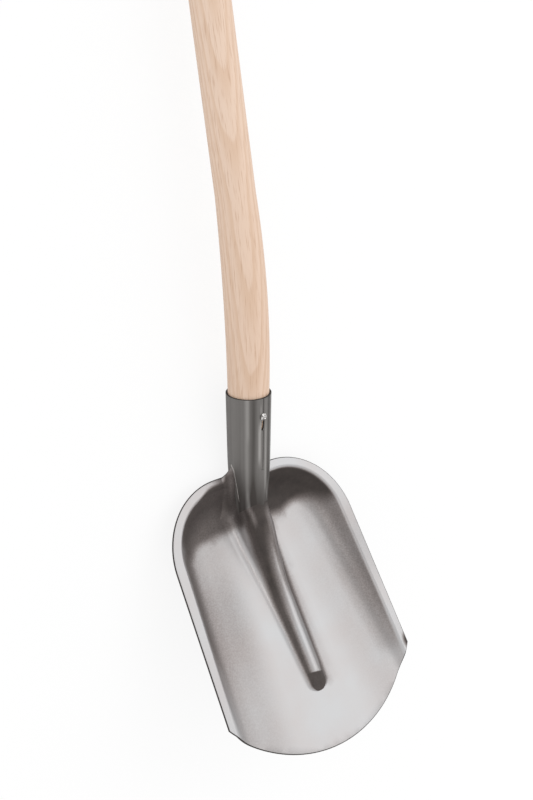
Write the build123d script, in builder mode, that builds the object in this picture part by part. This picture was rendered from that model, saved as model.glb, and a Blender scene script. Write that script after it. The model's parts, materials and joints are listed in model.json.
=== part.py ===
"""A round-nosed shovel: a pressed steel blade, a rolled socket and a bent ash handle held by a nail.

Millimetres, +Z up. The shovel lies on its back, as it comes to rest on a flat floor: the heel of the
pan and the free end of the handle touch z = 0. +X runs across the blade, +Y from the nose to the handle.
Everything is first measured in the blade's own frame: y from the line between the two nose corners
towards the socket, z up from the inside of the pan's floor. at() carries it into the lying pose.
"""
import math
import os

from build123d import *

os.makedirs("parts", exist_ok=True)

# Sheet and pan
sheet = 2.0                 # thickness of the blade's steel
blade_width = 250.0         # across the two nose corners
blade_length = 298.0        # from the nose to the back of the rim
nose_depth = 62.5           # how far the nose bows out past its corners
side_slope = 2.4            # how far each side of the rim closes in towards the back, degrees
rim_radius = 80.0           # corner radius of the rim
rim_at_nose = 8.0           # height of the rim at the nose corners
rim_slope = 5.1             # rise of the rim towards the back, degrees
rim_width = 11.0            # width of the turned-out rim at the back
rim_width_nose = 9.0        # and at the nose corners
rim_bend = 2.5              # inside radius of the bend from wall to rim
rim_sweep = 7.0             # radius with which the back of the rim sweeps up to the socket
wall_lean = 35.0            # how far the wall leans out from upright, degrees
wall_radius = 28.0          # inside radius between floor and wall

# Ridge, from the neck where the socket ends to the tip near the nose: a steep-sided arch at the neck,
# lower and softer towards the nose
neck_inset = 10.0           # from the back of the floor to the neck
ridge_at_neck = 38.7        # height of the crest at the neck
neck_foot = 5.0             # the round between the ridge's flanks and the floor there
shoulder_inset = 25.0       # from the neck to the ridge's shoulder
shoulder_rise = 30.6        # height of the crest there
shoulder_half = 19.0        # half width of the ridge there, at the floor
shoulder_top = 16.0         # radius of its top there
shoulder_foot = 8.0         # radius of its feet there
throat_inset = 55.0         # from the neck to where the ridge runs on low and soft
throat_rise = 21.6
throat_half = 19.0
throat_top = 14.0
waist_inset = 95.0          # from the neck to the ridge's waist
waist_rise = 13.9
waist_half = 17.0
waist_top = 9.0
ridge_end = 16.0            # where the crest breaks into the end facet
end_rise = 7.3              # height of the crest there
end_half = 12.0
end_top = 6.3
foot_radius = 9.0           # the round between the low ridge and the floor
ridge_tip = 5.0             # how far past the nose corners the end facet runs out on the floor
tip_half = 5.5              # half width of the ridge at its rounded tip
ridge_sink = 0.3            # how far the ridge's feet dip into the floor's sheet

# Socket
socket_lift = 38.0          # angle between the socket and the pan's floor, degrees
socket_length = 116.0       # from the neck to the mouth
mouth_radius = 23.2         # outside radius at the mouth
neck_radius = 21.4          # outside radius at the neck, in the middle plane
pinch_start = 38.0          # from the neck to where the socket's sides start to draw in towards it
pinch = 4.5                 # how far each side draws in, degrees
socket_wall = 2.0
weld_width = 3.0            # width of the welded seam round the socket's foot
socket_floor_gap = 1.5      # the open back of the socket stays this far above the floor
seam_width = 0.8            # butt seam down the front
seam_length = 76.0
slot_width = 2.2            # the seam opens into a slot below the nail
slot_length = 11.0

# Handle
handle_fit = 0.15           # radial play of the handle in the socket
tenon_length = 76.0         # how far the handle goes into the socket
tenon_chamfer = 2.0
lead_in = 10.0              # straight above the mouth before the bend
bend = 11.0                 # the bend, degrees
bend_length = 190.0
swell_radius = 21.8         # the handle is thickest in the middle of its bend
grip_radius = 20.0
grip_length = 900.0
end_radius = 9.0            # rounding of the free end

# Nail
nail_from_mouth = 20.0
nail_head_radius = 3.8
nail_head_edge = 0.5        # height of the head's straight edge
nail_head_dome = 1.5        # height of its dome above that
nail_radius = 1.7
nail_length = 28.0
nail_point = 5.0
nail_seat_gap = 0.05        # under the head
nail_fit = 0.05             # radial play of the nail in the wood
nail_wall_fit = 0.3         # radial play of the nail in the socket's wall
nail_hole_spare = 1.0       # the hole in the wood goes this much deeper than the nail


def tan(angle):
    return math.tan(math.radians(angle))


def unit(angle):
    """A direction in the blade's middle plane, angle degrees above the floor, as (y, z)."""
    return math.cos(math.radians(angle)), math.sin(math.radians(angle))


# The rim's outline, and the floor's inside it: the rim's width and the wall's run away from it
corner_half = blade_width / 2.0
rim_back = blade_length - nose_depth
rim_back_half = corner_half - rim_back * tan(side_slope)
rim_at_back = rim_at_nose + (rim_back - rim_width) * tan(rim_slope)
wall_run = rim_at_back * tan(wall_lean)
floor_half = corner_half - rim_width_nose - rim_at_nose * tan(wall_lean)
floor_back = rim_back - rim_width - wall_run
floor_back_half = rim_back_half - rim_width - wall_run
floor_radius = rim_radius - rim_width - wall_run
nose_radius = (corner_half**2 + nose_depth**2) / (2.0 * nose_depth)
neck = floor_back - neck_inset
beyond = 2.0 * blade_length     # reaches past the blade on any side

# The socket's axis starts at the neck, one radius below the crest
socket_y, socket_z = unit(socket_lift)
axis_y = neck + neck_radius * socket_z
axis_z = ridge_at_neck - neck_radius * socket_y
socket_taper = (mouth_radius - neck_radius) / socket_length


def on_socket(station):
    """The point of the socket's axis that far above the neck, as (y, z)."""
    return axis_y + station * socket_y, axis_z + station * socket_z


# The handle leaves the mouth straight, bends towards the floor and runs on straight
grip_lift = socket_lift - bend
bend_radius = bend_length / math.radians(bend)
mouth = on_socket(socket_length)
lead = on_socket(socket_length + lead_in)


def on_bend(turn):
    """The point of the handle's axis where it has bent by turn degrees, as (y, z)."""
    way_y, way_z = unit(socket_lift - turn)
    return lead[0] + bend_radius * (socket_z - way_z), lead[1] + bend_radius * (way_y - socket_y)


grip_y, grip_z = unit(grip_lift)
grip_start = on_bend(bend)
round_start = grip_length - end_radius
last = (grip_start[0] + round_start * grip_y, grip_start[1] + round_start * grip_z)

# How far the shovel tips back so that the heel's round and the handle's end touch the floor together
heel_radius = wall_radius + sheet
heel_y = floor_back - wall_radius * tan((90.0 - wall_lean) / 2.0)
heel_z = wall_radius
reach = math.hypot(last[0] - heel_y, last[1] - heel_z)
fall = math.asin((grip_radius - heel_radius) / reach)
tilt = math.degrees(math.atan2(last[1] - heel_z, last[0] - heel_y) - fall)
tilt_y, tilt_z = unit(tilt)
blade_z = heel_radius + heel_y * tilt_z - heel_z * tilt_y
# and where it lies so that the nose and the free end are as far from y = 0
nose_reach = -nose_depth * tilt_y - sheet * tilt_z
end_lean = abs(math.sin(math.radians(tilt - grip_lift)))
end_reach = last[0] * tilt_y + last[1] * tilt_z + (grip_radius - end_radius) * end_lean + end_radius
blade_y = -(nose_reach + end_reach) / 2.0


def world(y, z):
    """A point of the blade's middle plane, carried into the lying pose."""
    return 0.0, blade_y + y * tilt_y + z * tilt_z, blade_z - y * tilt_z + z * tilt_y


def at(y, z, lean=0.0):
    """A sketch plane at that point: lean 0 lies along the floor, 90 stands up and faces the nose."""
    facing = math.radians(lean - tilt)
    return Plane(origin=world(y, z), x_dir=(1, 0, 0), z_dir=(0, -math.sin(facing), math.cos(facing)))


rim_plane = at(0, rim_at_nose, rim_slope)
blade_up = Axis(world(0, 0), at(0, 0).z_dir)
blade_along = Axis(world(0, 0), at(0, 0).y_dir)


def tapered_outline(nose_half, back_half, back, radius, grow=0.0):
    """Sides that close in towards a straight back with round corners; runs on past the nose."""
    start = -2.0 * nose_depth
    slope = (nose_half - back_half) / back
    side = grow * math.hypot(1.0, slope)
    near = nose_half + side - slope * start
    far = back_half + side - slope * grow
    with BuildLine() as border:
        Polyline((-near, start), (near, start), (far, back + grow), (-far, back + grow), close=True)
    outline = make_face(border.edges())
    fillet(outline.vertices().sort_by(Axis.Y)[2:], radius + grow)


def round_the_floor(form, radius):
    """Rounds the lower edges of a tapered form, apart from the one past the nose."""
    lowest = form.faces().sort_by(blade_up)[0]
    fillet(lowest.edges().sort_by(blade_along)[1:], radius)


def bend_the_rim(form, border, height, radius):
    """Rounds the edges where the wall meets one side of the rim, that high above the rim plane."""
    bends = ShapeList()
    for edge in form.edges():
        middle = edge @ 0.5
        level = abs(rim_plane.to_local_coords(middle).Z - height) < sheet / 100.0
        if level and border.distance_to(middle) > rim_width_nose / 2.0 + sheet:
            bends.append(edge)
    fillet(bends, radius)


def ridge_flank(rise, half, top):
    """Where a flank that starts at half, level with the ridge's feet, touches the round top; its slope."""
    centre = rise - top
    drop = -ridge_sink - centre
    turn = math.atan2(drop, half) + math.acos(top / math.hypot(half, drop))
    return top * math.cos(turn), centre + top * math.sin(turn), math.pi / 2.0 - turn


def ridge_outside(rise, half, top, foot):
    """A cross-section of the ridge: round top, straight flanks and round feet, just into the sheet."""
    base = -ridge_sink
    deep = base - sheet / 2.0
    touch_x, touch_z, slope = ridge_flank(rise, half, top)
    back_off = foot * math.tan(slope / 2.0)
    foot_x = half + back_off
    knee_x = half - back_off * math.cos(slope)
    knee_z = base + back_off * math.sin(slope)
    mid_x = foot_x - foot * math.sin(slope / 2.0)
    mid_z = base + foot * (1.0 - math.cos(slope / 2.0))
    with BuildLine() as border:
        Line((-foot_x, deep), (foot_x, deep))
        Line((foot_x, deep), (foot_x, base))
        ThreePointArc((foot_x, base), (mid_x, mid_z), (knee_x, knee_z))
        Line((knee_x, knee_z), (touch_x, touch_z))
        ThreePointArc((touch_x, touch_z), (0, rise), (-touch_x, touch_z))
        Line((-touch_x, touch_z), (-knee_x, knee_z))
        ThreePointArc((-knee_x, knee_z), (-mid_x, mid_z), (-foot_x, base))
        Line((-foot_x, base), (-foot_x, deep))
    make_face(border.edges())


def ridge_inside(rise, half, top):
    """The hollow under that cross-section, one sheet in, open below the floor."""
    deep = -2.0 * sheet
    touch_x, touch_z, slope = ridge_flank(rise, half, top)
    high_x = touch_x - sheet * math.sin(slope)
    high_z = touch_z - sheet * math.cos(slope)
    low_x = high_x + (high_z - deep) / math.tan(slope)
    with BuildLine() as border:
        Line((-low_x, deep), (low_x, deep))
        Line((low_x, deep), (high_x, high_z))
        ThreePointArc((high_x, high_z), (0, rise - sheet), (-high_x, high_z))
        Line((-high_x, high_z), (-low_x, deep))
    make_face(border.edges())


def cone_rings(grow, start, stop):
    """Two circles on the socket's axis, start and stop above the neck, that a taper runs between."""
    rings = []
    for station in (start, stop):
        with BuildSketch(at(*on_socket(station), socket_lift - 90.0)) as ring:
            Circle(neck_radius + socket_taper * station + grow)
        rings.append(ring.sketch)
    return rings


def bend_ring(turn, radius):
    """A circle round the handle's axis where it has bent by turn degrees."""
    with BuildSketch(at(*on_bend(turn), socket_lift - turn - 90.0)) as ring:
        Circle(radius)
    return ring.sketch


def pinched_form(grow, foot, stop):
    """The socket's taper up to stop; below the pinch its sides draw in while front and back run on."""
    rings = cone_rings(grow, pinch_start, stop)
    loft(rings)
    deep = neck_radius + socket_taper * foot + grow
    narrow = deep - (pinch_start - foot) * tan(pinch)
    with BuildSketch(at(*on_socket(foot), socket_lift - 90.0)) as low_ring:
        Ellipse(narrow, deep)
    loft([low_ring.sketch, rings[0]])


# y, then height of the crest, half width at the floor, radius of the top and of the feet, down to the tip;
# at the neck the ridge is as wide and as round as the front of the socket
neck_half = neck_radius - pinch_start * tan(pinch)
neck_station = (ridge_at_neck, neck_half, neck_half**2 / neck_radius, neck_foot)
drawn_in = (
    (neck - shoulder_inset, (shoulder_rise, shoulder_half, shoulder_top, shoulder_foot)),
    (neck - throat_inset, (throat_rise, throat_half, throat_top, foot_radius)),
    (neck - waist_inset, (waist_rise, waist_half, waist_top, foot_radius)),
)
end_station = (end_rise, end_half, end_top, foot_radius)
ridge_stations = (
    (neck + sheet / 2.0, neck_station),
    *drawn_in,
    (ridge_end, end_station),
    (-ridge_tip - sheet, (end_rise / 2.0, tip_half, end_top / 2.0, foot_radius / 2.0)),
)
hollow_stations = (
    (neck + 3.0 * sheet, neck_station),
    *drawn_in,
    (ridge_end + 2.5 * sheet, end_station),
)

# The space inside the pan
with BuildPart() as pan_space:
    with BuildSketch(at(0, 0)):
        tapered_outline(floor_half, floor_back_half, floor_back, floor_radius)
    extrude(amount=2.0 * rim_at_back, taper=-wall_lean)
    round_the_floor(pan_space, wall_radius)

# The ridge, and the hollow behind it
with BuildPart() as ridge_form:
    for y, section in ridge_stations:
        with BuildSketch(at(y, 0, 90.0)):
            ridge_outside(*section)
    loft()
    facet = math.degrees(math.atan2(end_rise, ridge_end + ridge_tip))
    with BuildSketch(at(-ridge_tip, 0, facet)):
        Rectangle(beyond, beyond)
    extrude(amount=beyond, mode=Mode.SUBTRACT)

with BuildPart() as ridge_hollow:
    for y, section in hollow_stations:
        with BuildSketch(at(y, 0, 90.0)):
            ridge_inside(*section[:3])
    loft()

# The pressed sheet before it is cut out for the socket
with BuildPart() as pressing:
    outer_grow = sheet * (1.0 - unit(wall_lean)[1]) / unit(wall_lean)[0]
    with BuildSketch(at(0, -sheet)):
        tapered_outline(floor_half, floor_back_half, floor_back, floor_radius, outer_grow)
    extrude(amount=2.0 * rim_at_back, taper=-wall_lean)
    round_the_floor(pressing, wall_radius + sheet)
    with BuildSketch(rim_plane):
        Rectangle(beyond, 2.0 * beyond)
    extrude(amount=beyond, mode=Mode.SUBTRACT)
    with BuildSketch(rim_plane) as rim:
        tapered_outline(corner_half, rim_back_half, rim_back, rim_radius)
        with Locations((0, rim_back - rim_sweep)):
            Circle(neck_radius)
        swept = [v for v in rim.vertices() if abs(v.X) < neck_radius and v.Y > rim_back - sheet]
        fillet(swept, rim_sweep)
    extrude(amount=-sheet)
    add(pan_space.part, mode=Mode.SUBTRACT)
    with BuildSketch(at(0, 0)):
        with Locations((0, nose_radius - nose_depth)):
            Circle(nose_radius)
        with Locations((0, nose_radius - nose_depth + beyond / 2.0)):
            Rectangle(2.0 * nose_radius, beyond)
    extrude(amount=beyond, both=True, mode=Mode.INTERSECT)
    rim_border = rim.sketch.faces()[0].outer_wire()
    bend_the_rim(pressing, rim_border, -sheet, rim_bend)
    bend_the_rim(pressing, rim_border, 0.0, rim_bend + sheet)
    add(ridge_form.part)
    add(ridge_hollow.part, mode=Mode.SUBTRACT)

# The socket as a solid, and the wider one that its weld fills; both end at the neck
cone_foot = -3.0 * neck_radius * tan(socket_lift)
with BuildPart() as socket_form:
    pinched_form(0.0, cone_foot, socket_length)
    with BuildSketch(at(neck, 0, 90.0)):
        Rectangle(beyond, beyond)
    extrude(amount=beyond, mode=Mode.SUBTRACT)

with BuildPart() as weld_form:
    pinched_form(weld_width, cone_foot - weld_width, socket_length)
    with BuildSketch(at(neck - weld_width, 0, 90.0)):
        Rectangle(beyond, beyond)
    extrude(amount=beyond, mode=Mode.SUBTRACT)

with BuildPart() as socket_bore:
    pinched_form(-socket_wall, cone_foot - weld_width, socket_length + socket_wall)

with BuildPart() as blade:
    add(pressing.part)
    add(weld_form.part, mode=Mode.SUBTRACT)
blade.part.label = "blade"
export_step(blade.part, "parts/blade.step")

with BuildPart() as neck_weld:
    add(pressing.part)
    add(weld_form.part, mode=Mode.INTERSECT)
    add(socket_form.part, mode=Mode.SUBTRACT)
neck_weld.part.label = "neck_weld"
export_step(neck_weld.part, "parts/neck_weld.step")

# The socket: rolled, seamed down the front, cut away behind where it would foul the ground or the pan
with BuildPart() as socket:
    add(socket_form.part)
    add(socket_bore.part, mode=Mode.SUBTRACT)
    with BuildSketch(Plane(origin=(0, world(*mouth)[1], socket_floor_gap), z_dir=(0, 0, 1))):
        Rectangle(beyond, beyond)
    extrude(amount=-beyond, mode=Mode.SUBTRACT)
    with BuildSketch(at(neck, -sheet)):
        Rectangle(beyond, beyond)
    extrude(amount=-beyond, mode=Mode.SUBTRACT)
    with BuildSketch(at(*mouth, socket_lift)):
        Rectangle(seam_width, 2.0 * seam_length)
        with Locations((0, -nail_from_mouth)):
            Circle(nail_radius + nail_wall_fit)
            Rectangle(slot_width, nail_head_radius + slot_length, align=(Align.CENTER, Align.MAX))
    extrude(amount=2.0 * mouth_radius, mode=Mode.SUBTRACT)
socket.part.label = "socket"
export_step(socket.part, "parts/socket.step")

# The nail stands on the socket's outer face, on its front centre line; its head is a cap of a sphere
nail_station = socket_length - nail_from_mouth
nail_foot = on_socket(nail_station)
nail_seat = neck_radius + socket_taper * nail_station + nail_seat_gap
nail_tip = nail_seat - nail_length
nail_shank = nail_tip + nail_point
dome_foot = nail_seat + nail_head_edge
dome_top = dome_foot + nail_head_dome
dome_radius = (nail_head_radius**2 + nail_head_dome**2) / (2.0 * nail_head_dome)
dome_turn = math.asin(nail_head_radius / dome_radius) / 2.0
dome_mid = (dome_radius * math.sin(dome_turn), dome_top - dome_radius * (1.0 - math.cos(dome_turn)))

with BuildPart() as nail:
    with BuildSketch(at(*nail_foot, 90.0 + socket_lift)):
        with BuildLine():
            Line((0, nail_tip), (nail_radius, nail_shank))
            Line((nail_radius, nail_shank), (nail_radius, nail_seat))
            Line((nail_radius, nail_seat), (nail_head_radius, nail_seat))
            Line((nail_head_radius, nail_seat), (nail_head_radius, dome_foot))
            ThreePointArc((nail_head_radius, dome_foot), dome_mid, (0, dome_top))
            Line((0, dome_top), (0, nail_tip))
        make_face()
    revolve(axis=Axis(world(*nail_foot), at(*nail_foot, socket_lift).z_dir))
nail.part.label = "nail"
export_step(nail.part, "parts/nail.step")

# The handle: a tapered tenon, a bend that swells above the socket, and a straight round grip
with BuildPart() as handle:
    tenon = cone_rings(-socket_wall - handle_fit, socket_length - tenon_length, socket_length + lead_in)
    loft(tenon)
    with BuildLine() as bend_path:
        ThreePointArc(world(*lead), world(*on_bend(bend / 2.0)), world(*grip_start))
    swell_ring = bend_ring(bend / 2.0, swell_radius)
    grip_ring = bend_ring(bend, grip_radius)
    sweep(sections=[tenon[1], swell_ring, grip_ring], path=bend_path.line, multisection=True)
    extrude(grip_ring, amount=grip_length)
    grip_way = Axis(world(*grip_start), at(*grip_start, grip_lift - 90.0).z_dir)
    fillet(handle.edges().sort_by(grip_way)[-1], end_radius)
    chamfer(handle.edges().sort_by(grip_way)[0], tenon_chamfer)
    with BuildSketch(at(*nail_foot, socket_lift).offset(nail_tip - nail_hole_spare)):
        Circle(nail_radius + nail_fit)
    extrude(amount=nail_length + mouth_radius, mode=Mode.SUBTRACT)
handle.part.label = "handle"
export_step(handle.part, "parts/handle.step")
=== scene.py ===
# %% [markdown]
# # A round-nosed shovel, lying on its back
# The shovel is a pan pressed from sheet steel, a rolled socket welded to it, an ash handle driven into
# the socket and a nail that keeps it there. Nothing on it moves, so every piece rides on one body.
# This lesson rebuilds each piece as a clean mesh where its imported solid lies, and then gives it the
# finish of the real one. It starts by loading the imported solids and the record that comes with them.

import json
import math

import bmesh
import bpy
from mathutils import Matrix, Vector
from mathutils.geometry import delaunay_2d_cdt


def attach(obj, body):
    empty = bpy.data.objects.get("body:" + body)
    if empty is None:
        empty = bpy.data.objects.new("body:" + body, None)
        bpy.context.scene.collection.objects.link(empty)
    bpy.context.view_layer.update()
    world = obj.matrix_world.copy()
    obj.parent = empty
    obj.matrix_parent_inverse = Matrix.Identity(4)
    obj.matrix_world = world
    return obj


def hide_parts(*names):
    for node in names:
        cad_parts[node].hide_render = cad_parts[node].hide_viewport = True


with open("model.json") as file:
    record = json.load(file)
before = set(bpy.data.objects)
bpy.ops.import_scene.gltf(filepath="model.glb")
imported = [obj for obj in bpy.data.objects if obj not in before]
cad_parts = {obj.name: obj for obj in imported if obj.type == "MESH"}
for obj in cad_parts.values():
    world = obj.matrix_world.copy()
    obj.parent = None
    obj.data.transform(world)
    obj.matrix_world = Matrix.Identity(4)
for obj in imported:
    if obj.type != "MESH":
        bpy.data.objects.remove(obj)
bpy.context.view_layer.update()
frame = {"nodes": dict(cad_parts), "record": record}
print("packed nodes:", sorted(frame["nodes"]))

# %% [markdown]
# # The blade's own frame
# A blade is easiest to describe where its floor is level: x across, y from the line between the two nose
# corners towards the socket, z up from the inside of the floor, all in millimetres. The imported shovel
# lies tipped back. Its pan_underside mount says how the floor lies, so one matrix carries what is built
# here to its place: it turns the blade, moves it and makes metres of millimetres.

# %% Where the blade lies
MM = 0.001
sheet = 2.0
mount_on_blade = Vector((50.0, 90.0, -sheet))
underside = next(m for m in frame["record"]["mounts"] if m["name"] == "pan_underside")
tilt = math.atan2(-underside["axis"][1], -underside["axis"][2])
turn_and_shrink = Matrix.Rotation(-tilt, 4, "X") @ Matrix.Scale(MM, 4)
blade_origin = Vector(underside["pos_m"]) - turn_and_shrink @ mount_on_blade
lay = Matrix.Translation(blade_origin) @ turn_and_shrink
print("the floor is tipped by", round(math.degrees(tilt), 2), "degrees")

# %% [markdown]
# # Sizes
# The solids were drawn from these sizes, so the meshes use them too. A few are finer here than in the
# solids, because they only matter for how light runs over the steel: the socket's seam and slot, and the
# rounded feet of the ridge. The sizes of the handle and the nail stand with those pieces.

# %% Sizes of the blade in mm and degrees
corner_half = 125.0
nose_depth = 62.5
rim_back = 235.5
side_slope = math.radians(2.4)
rim_radius = 80.0
rim_at_nose = 8.0
rim_slope = math.radians(5.1)
rim_width = 11.0
rim_width_nose = 9.0
wall_lean = math.radians(35.0)
wall_radius = 28.0
neck_inset = 10.0
ridge_at_neck = 38.7
ridge_end = 16.0
end_rise = 7.3
ridge_tip = 5.0

rim_back_half = corner_half - rim_back * math.tan(side_slope)
rim_at_back = rim_at_nose + (rim_back - rim_width) * math.tan(rim_slope)
wall_run = rim_at_back * math.tan(wall_lean)
floor_half = corner_half - rim_width_nose - rim_at_nose * math.tan(wall_lean)
floor_back = rim_back - rim_width - wall_run
floor_back_half = rim_back_half - rim_width - wall_run
floor_radius = rim_radius - rim_width - wall_run
floor_slope = math.atan((floor_half - floor_back_half) / floor_back)
nose_radius = (corner_half**2 + nose_depth**2) / (2.0 * nose_depth)
nose_centre = nose_radius - nose_depth
neck = floor_back - neck_inset
print("floor ends at", round(floor_back, 1), "neck at", round(neck, 1))

# %% Sizes of the socket in mm and degrees
socket_lift = math.radians(38.0)
socket_length = 116.0
mouth_radius = 23.2
neck_radius = 21.4
pinch_start = 38.0
pinch = math.radians(4.5)

socket_taper = (mouth_radius - neck_radius) / socket_length
axis_y = neck + neck_radius * math.sin(socket_lift)
axis_z = ridge_at_neck - neck_radius * math.cos(socket_lift)
print("socket axis starts at", round(axis_y, 1), round(axis_z, 1))

# %% [markdown]
# # Helpers for numbers
# Nearly every shape here is a height or a width that changes smoothly along a line, so a few short
# functions do most of the work. They mix two values, step evenly from one to the other, ease between them
# and find where a curve crosses zero. A soft minimum joins two heights with a round bend, not a crease.

# %% Helpers for numbers
# points that lie closer together than this, in mm, are welded into one
WELD_GAP = 0.06


def mix(low, high, share):
    """low at a share of 0, high at 1."""
    return low + (high - low) * share


def spread(low, high, count):
    """count steps from low to high, with both ends."""
    return [mix(low, high, step / count) for step in range(count + 1)]


def soft_min(first, second, width):
    """The lower of two heights, rounded where they meet."""
    share = min(max(0.5 + 0.5 * (second - first) / width, 0.0), 1.0)
    return mix(second, first, share) - width * share * (1.0 - share)


def ease(low, high, value):
    """0 below low, 1 above high, and a smooth step in between."""
    share = min(max((value - low) / (high - low), 0.0), 1.0)
    return share * share * (3.0 - 2.0 * share)


def find_root(function, low, high):
    """Where a function that is below zero at low and above zero at high crosses zero."""
    for _ in range(40):
        middle = (low + high) / 2.0
        if function(middle) < 0.0:
            low = middle
        else:
            high = middle
    return (low + high) / 2.0


print("a third of the way from 0 to 1 eases to", round(ease(0.0, 3.0, 1.0), 2))

# %% [markdown]
# # The pan's wall and rim
# Seen from above, the floor has an outline of two sides, two round corners and a back. Everything outside
# it is the same cross-section swept round: floor, round, leaning wall, bend and rim. So the wall is built
# from rays that stand square on that outline. Along each ray the height is the pan's, until the rim plane
# is lower. Near the nose the rays stop at the round cut of the nose.

# %% The cross-section and the outlines
curve_start = -wall_radius * math.tan((math.pi / 2.0 - wall_lean) / 2.0)
curve_stop = curve_start + wall_radius * math.cos(wall_lean)
flat_margin = 8.0
flat_edge = curve_start - flat_margin
bend_round = 3.0


def pan_height(out):
    """Height of the pan's inside, that far outside the floor's outline."""
    if out <= curve_start:
        return 0.0
    if out < curve_stop:
        return wall_radius - math.sqrt(wall_radius**2 - (out - curve_start) ** 2)
    return out / math.tan(wall_lean)


def rim_height(y):
    """Height of the plane that the rim lies in."""
    return rim_at_nose + y * math.tan(rim_slope)


def skin_height(out, y):
    """Height of the pan, bent over into the rim."""
    return soft_min(pan_height(out), rim_height(y), bend_round)


rim_corner_y = rim_back - rim_radius
rim_corner_x = corner_half - rim_corner_y * math.tan(side_slope) - rim_radius / math.cos(side_slope)


def past_rim(x, y):
    """Below zero inside the rim's outline, above zero outside it."""
    along = y / math.cos(rim_slope)
    if along > rim_corner_y + rim_radius * math.sin(side_slope) and x > rim_corner_x:
        return math.hypot(x - rim_corner_x, along - rim_corner_y) - rim_radius
    return max((x - corner_half) * math.cos(side_slope) + along * math.sin(side_slope), along - rim_back)


def past_nose(x, y):
    """Below zero behind the nose's round cut, above zero beyond it."""
    return math.hypot(x, y - nose_centre) - nose_radius if y < 0.0 else -1.0


print("the wall starts to curve", round(-curve_start, 1), "mm inside the floor's outline")

# %% Rays round the right half of the floor's outline
corner_y = floor_back - floor_radius
corner_x = floor_half - corner_y * math.tan(floor_slope) - floor_radius / math.cos(floor_slope)
side_end = corner_y + floor_radius * math.sin(floor_slope)
fine_until = 12.0


def side_ray(y):
    """A point of the floor's side and the way out from it."""
    foot = Vector((floor_half - y * math.tan(floor_slope), y))
    return foot, Vector((math.cos(floor_slope), math.sin(floor_slope)))


def corner_ray(angle):
    """A point of the floor's round corner and the way out from it."""
    way = Vector((math.cos(angle), math.sin(angle)))
    return Vector((corner_x, corner_y)) + way * floor_radius, way


def flat_point(y):
    """Where the ray from that point of the side leaves the flat floor."""
    foot, way = side_ray(y)
    return foot + way * flat_edge


nose_end = find_root(lambda y: -past_nose(*flat_point(y)), -nose_depth, -1.0)
rays = [side_ray(y) for y in spread(nose_end, fine_until, 46)]
rays += [side_ray(y) for y in spread(fine_until, side_end, 30)[1:]]
rays += [corner_ray(angle) for angle in spread(floor_slope, math.pi / 2.0, 36)[1:]]
print(len(rays), "rays, corner centre at", round(corner_x, 1), round(corner_y, 1))

# %% Points along a ray
# a ray that meets the nose's cut has no point closer to the cut than this, in mm, apart from its last
EDGE_CLEAR = 1.2
bend_zone = 4.0
wall_search, rim_search = 60.0, 90.0


def ray_stops(bend_at, reach):
    """Distances along a ray: close together where the skin curves."""
    stops = spread(flat_edge, curve_start, 3)
    stops += spread(curve_start, -neck_inset, 3)[1:]
    stops += spread(-neck_inset, bend_at - bend_zone, 12)[1:]
    stops += spread(bend_at - bend_zone, bend_at + bend_zone, 10)[1:]
    stops += spread(bend_at + bend_zone, reach, 3)[1:]
    return stops


def ray_points(foot, way):
    """Points of the skin along a ray, up to the rim's edge or the nose's cut."""

    def height_gap(out):
        return pan_height(out) - rim_height(foot.y + way.y * out)

    def rim_gap(out):
        return past_rim(*(foot + way * out))

    def nose_gap(out):
        return past_nose(*(foot + way * out))

    bend_at = find_root(height_gap, flat_edge, wall_search)
    reach = find_root(rim_gap, flat_edge, rim_search)
    stop = find_root(nose_gap, flat_edge, reach) if nose_gap(reach) > 0.0 else reach
    points = []
    for out in ray_stops(bend_at, reach):
        out = stop if out > stop - EDGE_CLEAR else out
        place = foot + way * out
        points.append(Vector((place.x, place.y, skin_height(out, place.y))))
    return points


wall_rows = [ray_points(foot, way) for foot, way in rays]
print("wall grid of", len(wall_rows), "by", len(wall_rows[0]), "points")

# %% [markdown]
# # The socket's cross-section
# The ridge ends in the socket, so the socket's width has to be known before the ridge can be built. The
# socket is a taper: its front and back run on straight, and its sides draw in towards the neck. It could be
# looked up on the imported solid, but three short formulas are easier to reuse.

# %% The socket's cross-section
socket_y, socket_z = math.cos(socket_lift), math.sin(socket_lift)
# how softly the pinch starts, in mm
PINCH_SOFT = 0.6


def socket_radius(station):
    """Radius in the middle plane, that far along the axis from the neck."""
    return neck_radius + socket_taper * station


def socket_side(station):
    """Half the width, that far along the axis."""
    drawn = (pinch_start - station) * math.tan(pinch)
    return socket_radius(station) - (drawn + math.hypot(drawn, PINCH_SOFT)) / 2.0


def socket_half(y, z):
    """Half the socket's width where the middle plane has that point, 0 outside the socket."""
    station = (y - axis_y) * socket_y + (z - axis_z) * socket_z
    lift = (z - axis_z) * socket_y - (y - axis_y) * socket_z
    return socket_side(station) * math.sqrt(max(1.0 - (lift / socket_radius(station)) ** 2, 0.0))


print("width of the socket at the neck:", round(2.0 * socket_side(0.0), 1), "mm")

# %% [markdown]
# # The ridge
# The ridge is pressed up out of the floor. Every cross-section has round feet, flanks and a round top. At
# the neck it is a steep arch as wide as the socket; towards the nose it sinks and gets softer, and it ends
# in a slanted facet with a round foot. It could be sculpted, but cross-sections on a few stations that are
# blended smoothly in between give a more even skin. Each foot starts with a narrow flat strip, so that the
# smooth shading of the round doesn't spill onto the large triangles of the floor.

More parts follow.
